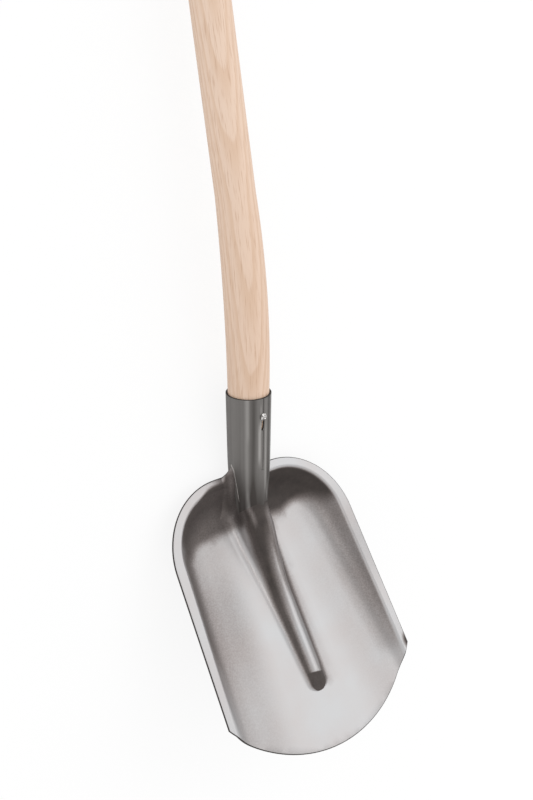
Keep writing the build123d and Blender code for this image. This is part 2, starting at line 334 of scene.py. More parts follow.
# %% Cross-sections of the ridge
# y, height of the crest, half width at the floor, radius of the top and of the feet
ridge_stations = (
    (-ridge_tip - sheet, 6.6, 12.0, 8.0, 6.0),
    (ridge_end, end_rise, 13.5, 8.5, 10.0),
    (neck - 95.0, 13.9, 17.0, 9.0, 10.0),
    (neck - 55.0, 21.6, 19.0, 14.0, 11.0),
    (neck - 25.0, 30.6, 19.0, 16.0, 12.0),
    (neck + sheet / 2.0, ridge_at_neck, 18.4, 15.8, 13.0),
)
foot_strip = 1.0
FOOT_STEPS = 8
FLANK_STEPS = 10
TOP_STEPS = 10
tip_round = 6.0
facet_round = 0.8
flow_length = 22.0
fit_length = 30.0
facet_rise = end_rise / (ridge_end + ridge_tip)


def blend_stations(y, column):
    """A smooth curve through one column of the stations."""
    ys = [station[0] for station in ridge_stations]
    values = [station[column] for station in ridge_stations]
    slopes = []
    for k in range(len(ys)):
        before, after = max(k - 1, 0), min(k + 1, len(ys) - 1)
        slopes.append((values[after] - values[before]) / (ys[after] - ys[before]))
    k = max(i for i in range(len(ys) - 1) if ys[i] <= y or i == 0)
    step = ys[k + 1] - ys[k]
    t = (y - ys[k]) / step
    return (
        values[k] * (2.0 * t**3 - 3.0 * t**2 + 1.0)
        + slopes[k] * step * (t**3 - 2.0 * t**2 + t)
        + values[k + 1] * (3.0 * t**2 - 2.0 * t**3)
        + slopes[k + 1] * step * (t**3 - t**2)
    )


def ridge_section(y):
    """Points (x, z) of the right half of the ridge at y, from its foot on the floor up to the crest."""
    rise, half, top, foot = (blend_stations(y, column) for column in (1, 2, 3, 4))
    centre = rise - top
    turn = math.acos(min(top / math.hypot(half, centre), 1.0)) - math.atan2(centre, half)
    touch = Vector((top * math.cos(turn), centre + top * math.sin(turn)))
    slope = math.pi / 2.0 - turn
    back_off = foot * math.tan(slope / 2.0)
    knee = Vector((half - back_off * math.cos(slope), back_off * math.sin(slope)))
    section = [(half + back_off + foot_strip, 0.0)]
    for angle in spread(0.0, slope, FOOT_STEPS):
        section.append((half + back_off - foot * math.sin(angle), foot * (1.0 - math.cos(angle))))
    for share in spread(0.0, 1.0, FLANK_STEPS)[1:]:
        section.append(tuple(knee.lerp(touch, share)))
    for angle in spread(turn, math.pi / 2.0, TOP_STEPS)[1:]:
        section.append((top * math.cos(angle), centre + top * math.sin(angle)))
    return section


print("a section of the ridge has", len(ridge_section(neck)), "points")

# %% Set the sections in place
# the lowest of these heights keep the ridge's own width at the neck, the highest take the socket's
fit_from, fit_to = 8.0, 18.0
# the tip has closer sections, up to this far behind the facet
tip_zone = 6.0

# how much narrower or wider the socket is than the ridge at the neck, for each point of a section
neck_fit = []
for x, z in ridge_section(neck)[:-1]:
    neck_fit.append(mix(1.0, socket_half(neck, z) / x, ease(fit_from, fit_to, z)))
neck_fit.append(1.0)
slope_at_neck = blend_stations(neck, 1) - blend_stations(neck - 1.0, 1)


def flow_dip(y):
    """How much lower the crest lies in front of the neck, so that it bends up into the socket's slope."""
    share = min((neck - y) / flow_length, 1.0)
    return (math.tan(socket_lift) - slope_at_neck) * flow_length * share * (1.0 - share) ** 2


def tip_narrow(y):
    """How much narrower a section is in the round end of the ridge."""
    short = max(tip_round - y, 0.0) / (tip_round + ridge_tip)
    return math.sqrt(max(1.0 - short**2, 0.0))


def ridge_row(y):
    """The section in place: narrowed to a round end at the tip, cut by the facet, fitted to the socket."""
    narrow = tip_narrow(y)
    ground = pan_height(y - floor_back)
    crest = blend_stations(y, 1)
    low = 1.0 - ground / crest - flow_dip(y) / crest
    row = []
    for fit, (x, z) in zip(neck_fit, ridge_section(y)):
        height = soft_min(z, max(facet_rise * (y + ridge_tip), 0.0), facet_round)
        height = max(height, 0.0) if row else 0.0
        wide = mix(1.0, fit, ease(neck - fit_length, neck, y))
        row.append(Vector((x * narrow * wide, y, ground + height * low)))
    return row


back_stops = [out for out in ray_stops(wall_run, wall_run + rim_width) if out <= -neck_inset + WELD_GAP]
ridge_ys = spread(-ridge_tip, ridge_end + tip_zone, 54)
ridge_ys += spread(ridge_end + tip_zone, floor_back + flat_edge, 48)[1:]
ridge_ys += [floor_back + out for out in back_stops[1:]]
ridge_rows = [ridge_row(y) for y in ridge_ys]
print("ridge of", len(ridge_rows), "sections of", len(ridge_rows[0]), "points")

# %% [markdown]
# # The back wall beside the socket
# Behind the neck the wall runs up the socket's side in a soft hollow, as the ridge's flank does below it,
# and the rim's back edge sweeps up there too. The rows across the back wall therefore go on up a curve,
# from the wall to the side of the socket. At the neck that curve is the ridge's own foot and flank, so the
# patches meet without a step. A boolean union would leave a sharp corner here, where the press left none.

# %% Columns of the back wall
hollow_foot = 11.0
hollow_foot_rim = 9.5
hollow_sink = 0.3
hollow_flat = 0.5
# how far outside the floor the hollow is full, starts to narrow and has narrowed
hollow_full, narrow_from, narrow_to = 4.0, 6.0, wall_run + 2.0
# the web rises from this far behind the neck, and the flank has turned into the hollow a little further on
web_from, hollow_from = 8.0, 9.0
web_rise = 0.63
web_top = 45.0
rim_climb = 7.0
climb_from = 8.0
tongue_rise = 0.3
TONGUE_ROWS = 4
HOLLOW_STEPS = 1 + FOOT_STEPS + FLANK_STEPS
neck_row = ridge_row(neck)
hollow_top = neck_row[HOLLOW_STEPS].z


def hollow_width(out):
    """How far the hollow beside the socket reaches onto the wall."""
    at_neck = neck_row[0].x - socket_half(neck, 0.0)
    wide = mix(at_neck, hollow_foot, ease(-neck_inset, hollow_full, out))
    return mix(wide, hollow_foot_rim, ease(narrow_from, narrow_to, out))


def wall_edge(out):
    """How far from the middle the back wall stops and the hollow starts."""
    y = floor_back + out
    if y <= neck:
        return ridge_row(y)[0].x
    return socket_half(y, skin_height(out, y)) + hollow_width(out)


back_bend = find_root(lambda out: pan_height(out) - rim_height(floor_back + out), flat_edge, wall_search)
back_edge = rim_back * math.cos(rim_slope) - floor_back


def back_column(share):
    """Points up the back wall; share is 0 at the corner and 1 beside the hollow."""
    points = []
    for out in ray_stops(back_bend, back_edge):
        y = floor_back + out
        x = mix(corner_x, wall_edge(out), share)
        points.append(Vector((x, y, skin_height(out, y))))
    return points


def hollow_row(out):
    """Points from the wall up the hollow to the socket's side, that far outside the floor."""
    y = floor_back + out
    z = skin_height(out, y)
    climbed = y + rim_climb * ease(climb_from, back_edge, out)
    level = min(hollow_top + web_rise * max(climbed - neck - web_from, 0.0), web_top)
    foot = Vector((wall_edge(out), y, z))
    top = Vector((socket_half(climbed, level) - hollow_sink, climbed, level))
    corner = Vector((socket_half(y, z), y, z)).lerp((foot + top) / 2.0, hollow_flat)
    fade = ease(neck, neck + hollow_from, y)
    row = [foot]
    for k, share in enumerate(spread(0.0, 1.0, HOLLOW_STEPS)[1:], start=1):
        curve = foot.lerp(corner, share).lerp(corner.lerp(top, share), share)
        flank = neck_row[k] + Vector((0.0, y - neck, z - neck_row[0].z))
        row.append(flank.lerp(curve, fade))
    return row


def tongue_row(hollow):
    """The ridge's top goes on under the socket, from the end of a row of the hollow to the middle."""
    start, edge = neck_row[HOLLOW_STEPS], hollow[-1]
    run = edge.y - start.y
    row = []
    for point in neck_row[HOLLOW_STEPS:]:
        share = point.x / start.x
        height = point.z + mix(tongue_rise * run, edge.z - start.z, share)
        row.append(Vector((edge.x * share, edge.y, height)))
    return row


back_rows = [back_column(share) for share in spread(0.0, 1.0, 12)]
hollow_outs = [out for out in ray_stops(back_bend, back_edge) if out >= -neck_inset - WELD_GAP]
hollow_rows = [hollow_row(out) for out in hollow_outs]
tongue_rows = [tongue_row(hollow) for hollow in hollow_rows[:TONGUE_ROWS]]
print("back wall of", len(back_rows), "columns, hollow of", len(hollow_rows), "rows")

# %% [markdown]
# # From a skin to a sheet
# A pressed sheet has one thickness everywhere. Both of its faces could be modelled, but it is easier to
# build one skin and let Solidify thicken it. A patch of the skin is a grid of points, and patches that share
# the points of an edge are welded there. Solidify gives the new faces along the border a second material.
# That marks the cut edges of the sheet, which can then be found and rounded. The material slots stay empty
# for now.

# %% Helpers for meshes
SHARP_ANGLE = math.radians(38.0)


def add_patch(mesh, rows, outward, material=0):
    """A grid of quads through rows of points, facing the way that outward(face centre) gives."""
    grid = [[mesh.verts.new(point) for point in row] for row in rows]
    faces = []
    for row, after in zip(grid, grid[1:]):
        for a, b, c, d in zip(row, row[1:], after[1:], after):
            faces.append(mesh.faces.new((a, b, c, d)))
    lean = 0.0
    for face in faces:
        face.material_index = material
        face.normal_update()
        lean += face.normal.dot(outward(face.calc_center_median())) * face.calc_area()
    if lean < 0.0:
        bmesh.ops.reverse_faces(mesh, faces=faces)


def make_piece(name, mesh, node):
    """Turns a mesh in the blade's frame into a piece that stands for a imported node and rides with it."""
    bmesh.ops.remove_doubles(mesh, verts=mesh.verts, dist=WELD_GAP)
    bmesh.ops.dissolve_degenerate(mesh, edges=mesh.edges, dist=WELD_GAP / 10.0)
    data = bpy.data.meshes.new(name)
    mesh.to_mesh(data)
    mesh.free()
    data.transform(lay)
    data.materials.append(None)
    piece = bpy.data.objects.new(name, data)
    bpy.context.scene.collection.objects.link(piece)
    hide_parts(node)
    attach(piece, "root")
    return piece


def apply_modifiers(piece):
    """Makes the piece's mesh what its modifiers show."""
    shown = piece.evaluated_get(bpy.context.evaluated_depsgraph_get())
    piece.data = bpy.data.meshes.new_from_object(shown)
    piece.modifiers.clear()


def thicken(piece, thickness):
    """Gives a skin its thickness behind its face. The cut edges take the second material."""
    piece.data.materials.append(None)
    solidify = piece.modifiers.new("sheet", "SOLIDIFY")
    solidify.thickness = thickness * MM
    solidify.offset = -1.0
    solidify.use_quality_normals = True
    solidify.material_offset_rim = 1
    apply_modifiers(piece)


def round_cut_edges(piece, radius):
    """Rounds the sheet's edges: those between a face of the first and one of the second material."""
    mesh = bmesh.new()
    mesh.from_mesh(piece.data)
    cut = [edge for edge in mesh.edges if len({face.material_index for face in edge.link_faces}) == 2]
    bmesh.ops.bevel(mesh, geom=cut, affect="EDGES", offset=radius * MM, segments=2, profile=0.5, material=1)
    mesh.to_mesh(piece.data)
    mesh.free()
    print(piece.name, "has", len(cut), "cut edges")


def settle(piece):
    """Smooths the faces, apart from true edges."""
    piece.data.shade_smooth()
    piece.data.set_sharp_from_angle(angle=SHARP_ANGLE)
    print(piece.name, "has", len(piece.data.polygons), "faces")


def upward(_):
    """The outward direction of every face of the pan."""
    return Vector((0.0, 0.0, 1.0))


print("faces that meet at more than", round(math.degrees(SHARP_ANGLE)), "degrees keep an edge")

# %% [markdown]
# # The floor
# What is left is flat: the floor between the ridge's foot, the wall and the nose. Its border is already
# known, so a constrained triangulation fills it, with a grid of points inside to keep the triangles even.
# Only the right half is built. A mirrored copy of it makes the left half, as both halves are alike.

# %% Fill the floor and weld the skin together
FLOOR_STEP = 7.0
FLOOR_ROWS = range(-9, 27)
FLOOR_COLUMNS = range(1, 16)


def floor_border():
    """The floor's right half, round from the ridge's foot at the back."""
    border = [row[0].to_2d() for row in reversed(back_rows)]
    border += [row[0].to_2d() for row in reversed(wall_rows)][1:]
    start = math.atan2(border[-1].x, nose_centre - border[-1].y)
    for angle in spread(start, 0.0, 40)[1:]:
        border.append(Vector((nose_radius * math.sin(angle), nose_centre - nose_radius * math.cos(angle))))
    border += [Vector((0.0, y)) for y in spread(-nose_depth, -ridge_tip, 10)[1:-1]]
    feet = [row[0].to_2d() for row in ridge_rows if row[0].y < floor_back + flat_edge - WELD_GAP]
    return border + feet


def add_floor(mesh):
    """Triangles inside the border, all facing up."""
    border = floor_border()
    inner = []
    for row in FLOOR_ROWS:
        for column in FLOOR_COLUMNS:
            spot = Vector((column * FLOOR_STEP, row * FLOOR_STEP + (column % 2) * FLOOR_STEP / 2.0))
            if min((spot - point).length for point in border) > FLOOR_STEP / 2.0:
                inner.append(spot)
    edges = [(k, (k + 1) % len(border)) for k in range(len(border))]
    points, _, faces, *_ = delaunay_2d_cdt(border + inner, edges, [], 1, 1e-4)
    corners = [mesh.verts.new((point.x, point.y, 0.0)) for point in points]
    for face in faces:
        made = mesh.faces.new([corners[k] for k in face])
        made.normal_update()
        if made.normal.z < 0.0:
            made.normal_flip()


skin = bmesh.new()
for rows in (wall_rows, back_rows, hollow_rows, tongue_rows, ridge_rows):
    add_patch(skin, rows, upward)
add_floor(skin)
bmesh.ops.remove_doubles(skin, verts=skin.verts, dist=WELD_GAP)
print("right half of the skin has", len(skin.faces), "faces")

# %% Mirror the skin and thicken it
blade_edge_round = 0.9

other_half = bmesh.ops.duplicate(skin, geom=skin.verts[:] + skin.edges[:] + skin.faces[:])["geom"]
mirrored = [item for item in other_half if isinstance(item, bmesh.types.BMVert)]
bmesh.ops.scale(skin, vec=(-1.0, 1.0, 1.0), verts=mirrored)
bmesh.ops.reverse_faces(skin, faces=[item for item in other_half if isinstance(item, bmesh.types.BMFace)])
blade = make_piece("blade_sheet", skin, "blade")
thicken(blade, sheet)
round_cut_edges(blade, blade_edge_round)
settle(blade)

# %% [markdown]
# # Where the belt has ground the blade, and painted light and shade
# On the real blade a grinding belt has run over the floor, the rim and the crest of the ridge, and left
# them bright. It only brushed the side walls, and it hardly came to the back of the pan, which keeps the
# dark skin of the rolling mill. The same value also carries painted light and shade. The back, the walls,
# the ridge's flanks and its blunt end are painted darker where the steel lies in shade. The left back is
# painted lighter than the right, and the hollow beside the socket is painted lighter against its own shade.
# Thin painted highlights run along the ridge. A picture wrapped round the blade could show this, but a value
# on each point of the mesh needs no unwrapping and no file. So each point gets one value: near 1 where the
# belt ran or a highlight is painted, and near 0 where the skin or painted shade is dark. It follows from
# where the point lies: the numbers in these functions are places on the blade in mm, shares of a turn or a
# height, and shares of polish.

# %% How far a point lies outside the floor
def beside_floor(x, y):
    """How far a point lies outside the floor's side."""
    return (x - floor_half + y * math.tan(floor_slope)) * math.cos(floor_slope)


def outside_floor(x, y):
    """How far a point lies outside the floor's outline, and 0 at the sides up to 1 at the back."""
    beside = beside_floor(x, y)
    behind = y - floor_back
    angle = math.atan2(y - corner_y, x - corner_x)
    if floor_slope < angle < math.pi / 2.0:
        turned = (angle - floor_slope) / (math.pi / 2.0 - floor_slope)
        return math.hypot(x - corner_x, y - corner_y) - floor_radius, turned
    return (beside, 0.0) if beside > behind else (behind, 1.0)


def near(centre, half_width, value):
    """1 at the centre, falling smoothly to 0 at that distance from it."""
    return 1.0 - ease(0.0, half_width, abs(value - centre))


print("a point 5 mm behind the floor:", outside_floor(0.0, floor_back + 5.0))

# %% How bright the rim is
# the web above the rim beside the socket keeps this share: a painted light against the shade of its hollow
web_painted_light = 0.32
rim_back_y = 200.0


def rim_polish_and_painted_light(x, y, z):
    """1 on the rim; on the left its bright strip is narrowed and dimmed towards the socket, a painted shade,
    and on the web above the rim a share of it is kept, a painted light.
    """
    on_rim = 1.0 - ease(0.4, 2.6, rim_height(y) - z)
    if x > 0.0:
        return on_rim * (1.0 - 0.3 * near(125.0, 75.0, y))
    if y > rim_back_y:
        # on the left the rim's bright strip is narrowed and dimmed towards the socket: painted shade
        inside = rim_climb * (1.0 - ease(21.0, 29.0, -x)) - past_rim(-x, y)
        strip = mix(3.5, 12.0, ease(40.0, 80.0, -x))
        on_rim *= (1.0 - ease(strip, strip + 4.0, inside)) * mix(0.55, 1.0, ease(25.0, 44.0, -x))
    return on_rim * mix(1.0, web_painted_light, ease(1.5, 4.0, z - rim_height(y)))


print("polish of the rim half way up the right side:", round(rim_polish_and_painted_light(120.0, 125.0, rim_height(125.0)), 2))

# %% How bright the pan is
# the dull level of the back on each side; the right is painted darker than the left: painted shade
dull_and_shade_left, dull_and_shade_right = 0.19, 0.02
soft_left, soft_right = 6.5, 9.0


def left_pan(x, y, out, turned):
    """Polish left of the ridge, polish of the back, and where and how softly the back starts."""
    beside = beside_floor(x, y)
    # the floor is darker towards the wall
    darker_near_wall = mix(0.18, 0.33, ease(0.0, 90.0, y)) * ease(-70.0, -30.0, beside)
    darker_near_wall *= 1.0 - 0.35 * ease(110.0, 160.0, y)
    darker_near_wall += 0.10 * ease(-24.0, -10.0, beside)
    high = ease(45.0, 90.0, y)
    low_wall = mix(0.72, 0.46, ease(-10.0, 90.0, y))
    wall = mix(low_wall, 1.0, ease(mix(-5.0, 1.5, high), mix(5.0, 13.0, high), out))
    dull = mix(dull_and_shade_left, 1.0, ease(0.0, 8.0, out) * (1.0 - ease(0.18, 0.36, turned)))
    # near the socket the back is lifted: painted light against the shade of the hollow
    dull = max(dull, 0.34 * (1.0 - ease(19.0, 29.0, x)))
    bright = mix(1.0 - darker_near_wall, wall, ease(-12.0, 0.0, out))
    border = mix(-8.0, -23.5, ease(0.1, 0.85, turned))
    return bright, dull, border, soft_left


def right_pan(x, y, out, turned):
    """The same right of the ridge, where the back is painted darker: painted shade."""
    beside = beside_floor(x, y)
    from_nose = ease(-12.0, 14.0, y)
    darker_near_wall = 0.12 * ease(-75.0, -30.0, beside) + 0.20 * from_nose * ease(-26.0, -10.0, beside)
    darker_near_wall *= 1.0 - 0.4 * ease(90.0, 150.0, y)
    wall = mix(mix(0.82, 0.54, from_nose), 0.44, ease(14.0, 55.0, y)) + 0.04 * ease(90.0, 130.0, y)
    bright = mix(1.0 - darker_near_wall, wall, ease(-12.0, 6.0, out))
    border = mix(8.0, -24.0, ease(0.1, 0.95, turned))
    return bright, dull_and_shade_right, border, soft_right


def pan_polish_and_painted_light(x, y, z):
    """Polish of the floor, the walls, the hollow beside the socket and the rim, with their painted light and
    shade.
    """
    out, turned = outside_floor(abs(x), y)
    side = left_pan if x < 0.0 else right_pan
    bright, dull, border, soft = side(abs(x), y, out, turned)
    ground = mix(bright, dull, ease(border - soft, border + soft, out) * ease(0.03, 0.22, turned))
    if x < 0.0:
        # on the left the back just under the rim is painted darker: painted shade under the rim
        ground *= 1.0 - 0.7 * ease(0.5, 0.8, turned) * ease(-3.0, -1.0, z - rim_height(y))
    # beside the socket the hollow is painted lighter: painted light against the shade of the deep hollow
    if y > neck and abs(x) < 30.0:
        hollow = mix(0.2, 0.07, ease(neck + 2.0, neck + 11.0, y))
        from_socket = abs(x) - socket_half(y, z)
        ground = mix(0.30, mix(hollow, ground, ease(20.0, 30.0, abs(x))), ease(1.0, 6.0, from_socket))
    return mix(ground, 1.0, rim_polish_and_painted_light(x, y, z))


print("polish in the middle of the left and right floor:",
      [round(pan_polish_and_painted_light(x, 90.0, 0.0), 2) for x in (-60.0, 60.0)])

# %% [markdown]
# ## The belt and painted light on the ridge
# On the ridge the polish is partly the belt's and partly painted light and shade. On the left the floor's
# shine runs a little way up the ridge's flank, and higher up towards the neck. A dark band of painted shade
# is left between it and the bright crest, which carries a painted highlight. On the right the flank is
# bright beside the crest and painted dark along its foot. Towards the neck the crest is painted dark as
# well, and
# so is the blunt front end: both are painted shade. One long noise would look random here, so each flank has
# a function of its own. A point gets the ridge's polish where that is lower than the pan's.

# %% How bright the ridge is
# the blunt end of the ridge is painted dark within these sizes, down to the last value: painted shade
end_half = 9.6
end_full = 5.0
end_top = 14.8
end_skew = 0.18
end_shade = 0.06


def left_flank(x, y, height):
    """Polish of the left flank with its painted shade and highlights; height is a share of the ridge's own.
    """
    back = ease(145.0, 170.0, y)
    foot_low = mix(-0.02, 0.22, ease(85.0, 150.0, y)) + 0.12 * back
    foot_high = mix(0.48, 0.66, ease(90.0, 150.0, y)) + 0.06 * back
    foot = 1.0 - ease(foot_low, foot_high, height)
    # a narrow band of the round foot is painted darker: painted shade that hides the highlight it catches
    dimmed_highlight_at = mix(0.095, 0.072, ease(125.0, 150.0, y))
    foot *= 1.0 - 0.3 * ease(95.0, 140.0, y) * near(dimmed_highlight_at, 0.045, height)
    tail = 0.22 * (1.0 - ease(0.5, 0.85, height)) * ease(100.0, 150.0, y) * (1.0 - ease(178.0, 190.0, y))
    # the crest is bright, partly the belt's polish and partly a painted highlight, and painted dark towards
    # the neck: painted shade
    peak = mix(1.0, 0.06, ease(120.0, 180.0, y))
    top_in = mix(1.5, -3.5, ease(60.0, 115.0, y))
    top_out = mix(9.0, 10.8, ease(60.0, 90.0, y))
    top = peak * (1.0 - ease(top_in, top_out, -x))
    # a thin painted highlight along the left shoulder near the neck
    streak = mix(-11.3, -12.9, ease(neck - 8.0, neck, y))
    shoulder_highlight = 0.36 * near(streak, 2.6, x) * ease(168.0, 184.0, y)
    return max(foot, tail, top, shoulder_highlight, mix(0.11, 0.03, ease(85.0, 120.0, y)))


def right_flank(x, y):
    """Polish of the right flank and of the floor beside it, with their painted highlights and shade."""
    fade = 1.0 - ease(178.0, 198.0, y)
    # beside the crest the flank is bright and along its foot dark: partly the belt's polish, partly a
    # painted highlight and painted shade
    lit = mix(0.95, 0.56, ease(88.0, 118.0, y)) * fade
    low = 0.30 * fade
    lower = mix(4.5, 8.2, ease(10.0, 28.0, y)) + 2.3 * ease(28.0, 90.0, y)
    flank = mix(lit, low, ease(lower, lower + 4.5, x))
    # a thin line of painted shade just right of the crest
    flank *= 1.0 - 0.55 * near(3.2, 3.4, x) * ease(122.0, 150.0, y)
    # the crest's bright band is partly the belt's polish, its thin bright line a painted highlight; both are
    # painted dark towards the neck
    crest = mix(1.0, 0.04, ease(130.0, 184.0, y)) * near(-0.4, mix(6.0, 2.6, ease(90.0, 140.0, y)), x)
    line = 0.42 * near(0.0, 1.5, x) * ease(140.0, 160.0, y)
    away = x - 11.2 - 0.073 * y
    floor_beside = 0.95 + 0.05 * ease(7.0, 20.0, away)
    foot_out = mix(7.0, 14.0, ease(158.0, 176.0, y))
    return mix(max(flank, crest, line, 0.03), floor_beside, ease(-1.5, foot_out, away))


def ridge_end_painted_shade(x, y):
    """1 on the blunt front end of the ridge, which is painted dark: painted shade, as the end faces away
    from the light.
    """
    short = max(end_full - y, 0.0) / (end_full + ridge_tip)
    half = end_half * math.sqrt(max(1.0 - short**2, 0.0))
    return ease(-0.7, 0.7, half - abs(x)) * ease(-0.7, 0.7, end_top - end_skew * x - y)


def ridge_polish_and_painted_light(x, y, z):
    """Polish of a point of the ridge, and of the floor right of it, with their painted light and shade."""
    on_ridge = abs(x) < ridge_section(y)[1][0] * tip_narrow(y) - WELD_GAP
    if x < 0.0:
        flank = left_flank(x, y, z / blend_stations(y, 1)) if on_ridge else 1.0
    else:
        flank = mix(1.0, right_flank(x, y), ease(-4.0, 6.0, y))
    return mix(flank, end_shade, ridge_end_painted_shade(x, y)) if on_ridge else flank


print("polish on the crest half way along:", round(ridge_polish_and_painted_light(-0.1, 90.0, blend_stations(90.0, 1)), 2))

# %% Write the polish of every point
# the rim's front corner on the right is stained, most within the first of these distances
stain_y = 2.0
stain_flat = 0.6
stain_dark, stain_clear = 2.0, 8.0


def polish_and_painted_light_at(point):
    """Polish of a point of the blade, with its painted light and shade, in the blade's own frame."""
    x, y, z = point
    polish_and_painted_light = pan_polish_and_painted_light(x, y, z)
    if -ridge_tip < y < neck:
        polish_and_painted_light = min(polish_and_painted_light, ridge_polish_and_painted_light(x, y, z))
    from_stain = math.hypot(x - corner_half, (y - stain_y) * stain_flat)
    return polish_and_painted_light * ease(stain_dark, stain_clear, from_stain)


def write_attribute(piece, name, kind, values):
    """Stores one value for each point of the piece; vectors are given one after the other."""
    layer = piece.data.attributes.new(name, kind, "POINT")
    layer.data.foreach_set("vector" if kind == "FLOAT_VECTOR" else "value", values)


lift_off = lay.inverted()
polish_and_painted_light_values = [polish_and_painted_light_at(lift_off @ point.co) for point in blade.data.vertices]
write_attribute(blade, "polish_and_painted_light", "FLOAT", polish_and_painted_light_values)
print("polish is", round(sum(polish_and_painted_light_values) / len(polish_and_painted_light_values), 2), "on average")

# %% [markdown]
# # The socket
# The socket is a strip of sheet rolled to a taper, so its two edges meet in a seam down the front. Below
# the nail the edges stand apart in a slot. A tapered cylinder would have neither, so it is a grid of quads
# rolled round: each line along it starts where the socket leaves the ridge, or above the ground behind, and
# ends at the mouth. Where the seam is open, the first and the last line stand apart; below it they share
# their points and are welded.

# %% The socket's surface
socket_wall = 2.0
socket_floor_gap = 1.5
foot_overlap = 4.0
lowest_start = -80.0
front_y, front_z = -socket_z, socket_y


def socket_point(station, angle):
    """A point of the socket's outside: angle 0 is the front centre line."""
    lift = socket_radius(station) * math.cos(angle)
    x = socket_side(station) * math.sin(angle)
    y = axis_y + station * socket_y + lift * front_y
    z = axis_z + station * socket_z + lift * front_z
    return Vector((x, y, z))


def height_over_ground(point):
    """Height in mm over the ground that the shovel lies on."""
    return (lay @ point).z / MM


def socket_start(angle):
    """The station where a line along the socket starts."""

    def behind_cuts(station):
        point = socket_point(station, angle)
        run_in = foot_overlap * max(math.cos(angle), 0.0)
        return min(point.y - neck + run_in, point.z + sheet, height_over_ground(point) - socket_floor_gap)

    return find_root(behind_cuts, lowest_start, socket_length)


print("the front line starts at", round(socket_start(0.0), 1), "mm, the back line at",
      round(socket_start(math.pi), 1))

# %% The seam and its slot
seam_width = 0.2
seam_length = 76.0
slot_width = 3.0
slot_length = 11.0
slot_round = 3.0
slot_skew = 1.3
nail_from_mouth = 20.0
nail_head_radius = 3.8

seam_start = socket_length - seam_length
nail_station = socket_length - nail_from_mouth
slot_stop = nail_station - nail_head_radius - slot_length


def seam_gap(station):
    """Half the width of the seam at a station."""
    if station < seam_start:
        return 0.0
    if slot_stop <= station <= nail_station:
        ends = min(station - slot_stop, slot_round) / slot_round
        return mix(seam_width, slot_width, math.sqrt(ends)) / 2.0
    return seam_width / 2.0


def slot_lean(station):
    """How far the slot leans to the left at a station."""
    if slot_stop <= station <= nail_station:
        return slot_skew * ((nail_station - station) / (nail_station - slot_stop)) ** 2
    return 0.0


print("the slot runs from", round(slot_stop, 1), "to", nail_station, "mm along the socket")

# %% Rows round the socket
SOCKET_LINES = 96
# the seam changes its width within these lengths, so it has points on both sides of each change
seam_step, slot_step = 0.5, 0.3
socket_edge_round = 0.2
seam_stations = [seam_start + seam_step, slot_stop - slot_step]
seam_stations += spread(slot_stop, slot_stop + slot_round, 6) + [nail_station, nail_station + seam_step]


def socket_line(turn):
    """A line of points along the socket; turn runs from 0 to 1 round it, from seam edge to seam edge."""
    angle = turn * 2.0 * math.pi
    start = socket_start(angle)
    stations = spread(start, seam_start, 30)
    stations += sorted(seam_stations + spread(seam_start, socket_length, 24)[1:])
    line = []
    for station in [max(station, start) for station in stations]:
        gap = seam_gap(station) / socket_radius(station)
        lean = slot_lean(station) / socket_radius(station)
        line.append(socket_point(station, mix(gap, 2.0 * math.pi - gap, turn) - lean))
    return line


def from_socket_axis(point):
    """The way from the socket's axis out to a point."""
    lift = (point.y - axis_y) * front_y + (point.z - axis_z) * front_z
    return Vector((point.x, lift * front_y, lift * front_z)).normalized()


tube = bmesh.new()
add_patch(tube, [socket_line(turn) for turn in spread(0.0, 1.0, SOCKET_LINES)], from_socket_axis)
socket = make_piece("socket_tube", tube, "socket")
thicken(socket, socket_wall)
round_cut_edges(socket, socket_edge_round)
settle(socket)

# %% [markdown]
# ## Where the sheet lay before it was rolled
# The marks on the socket were pressed in by the rollers, so they run along the flat sheet. Each point keeps
# its place in that sheet, in mm, as an attribute called rolled: how far round from the front centre line,
# and how far along. A UV map could hold this too, but an attribute needs no seams. The material can then
# draw straight marks that follow the tube by themselves.

# %% Write how the socket's sheet was rolled
def rolled_place(point):
    """Where a point lay in the flat sheet, in mm: along the rolled round and along the socket."""
    station = (point.y - axis_y) * socket_y + (point.z - axis_z) * socket_z
    lift = (point.y - axis_y) * front_y + (point.z - axis_z) * front_z
    return math.atan2(point.x, lift) * neck_radius, station, 0.0


rolled_values = []
for point in socket.data.vertices:
    rolled_values += rolled_place(lift_off @ point.co)
write_attribute(socket, "rolled", "FLOAT_VECTOR", rolled_values)
print("the sheet reaches", round(max(rolled_values[::3]), 1), "mm round from its front line")

# %% [markdown]
# # The neck weld
# A weld joins the blade to the socket. It runs down the hollow on one side, over the arch of the neck and
# up the other side. Over the neck it is ground flush, and beside the socket its back still stands a little
# proud and catches the light. A curve with a round bevel would make such a bead too, but rings of points
# can be sunk more and less along the way, so that only the bead's back shows.

# %% A helper that joins rings of points
def join_rings(mesh, rings):
    """Quads between neighbouring rings and a cap at both ends, all facing out."""
    sides = len(rings[0])
    for ring, after in zip(rings, rings[1:]):
        for k in range(sides):
            after_k = (k + 1) % sides
            mesh.faces.new((ring[k], ring[after_k], after[after_k], after[k]))
    mesh.faces.new(rings[0])
    mesh.faces.new(rings[-1])
    bmesh.ops.recalc_face_normals(mesh, faces=mesh.faces)


# %% The weld's bead
weld_radius = 1.5
weld_sunk = 0.95
weld_flush = 1.62
proud_from = neck + 12.0
shine_from, shine_full = neck + 6.0, neck + 16.0
WELD_SIDES = 12


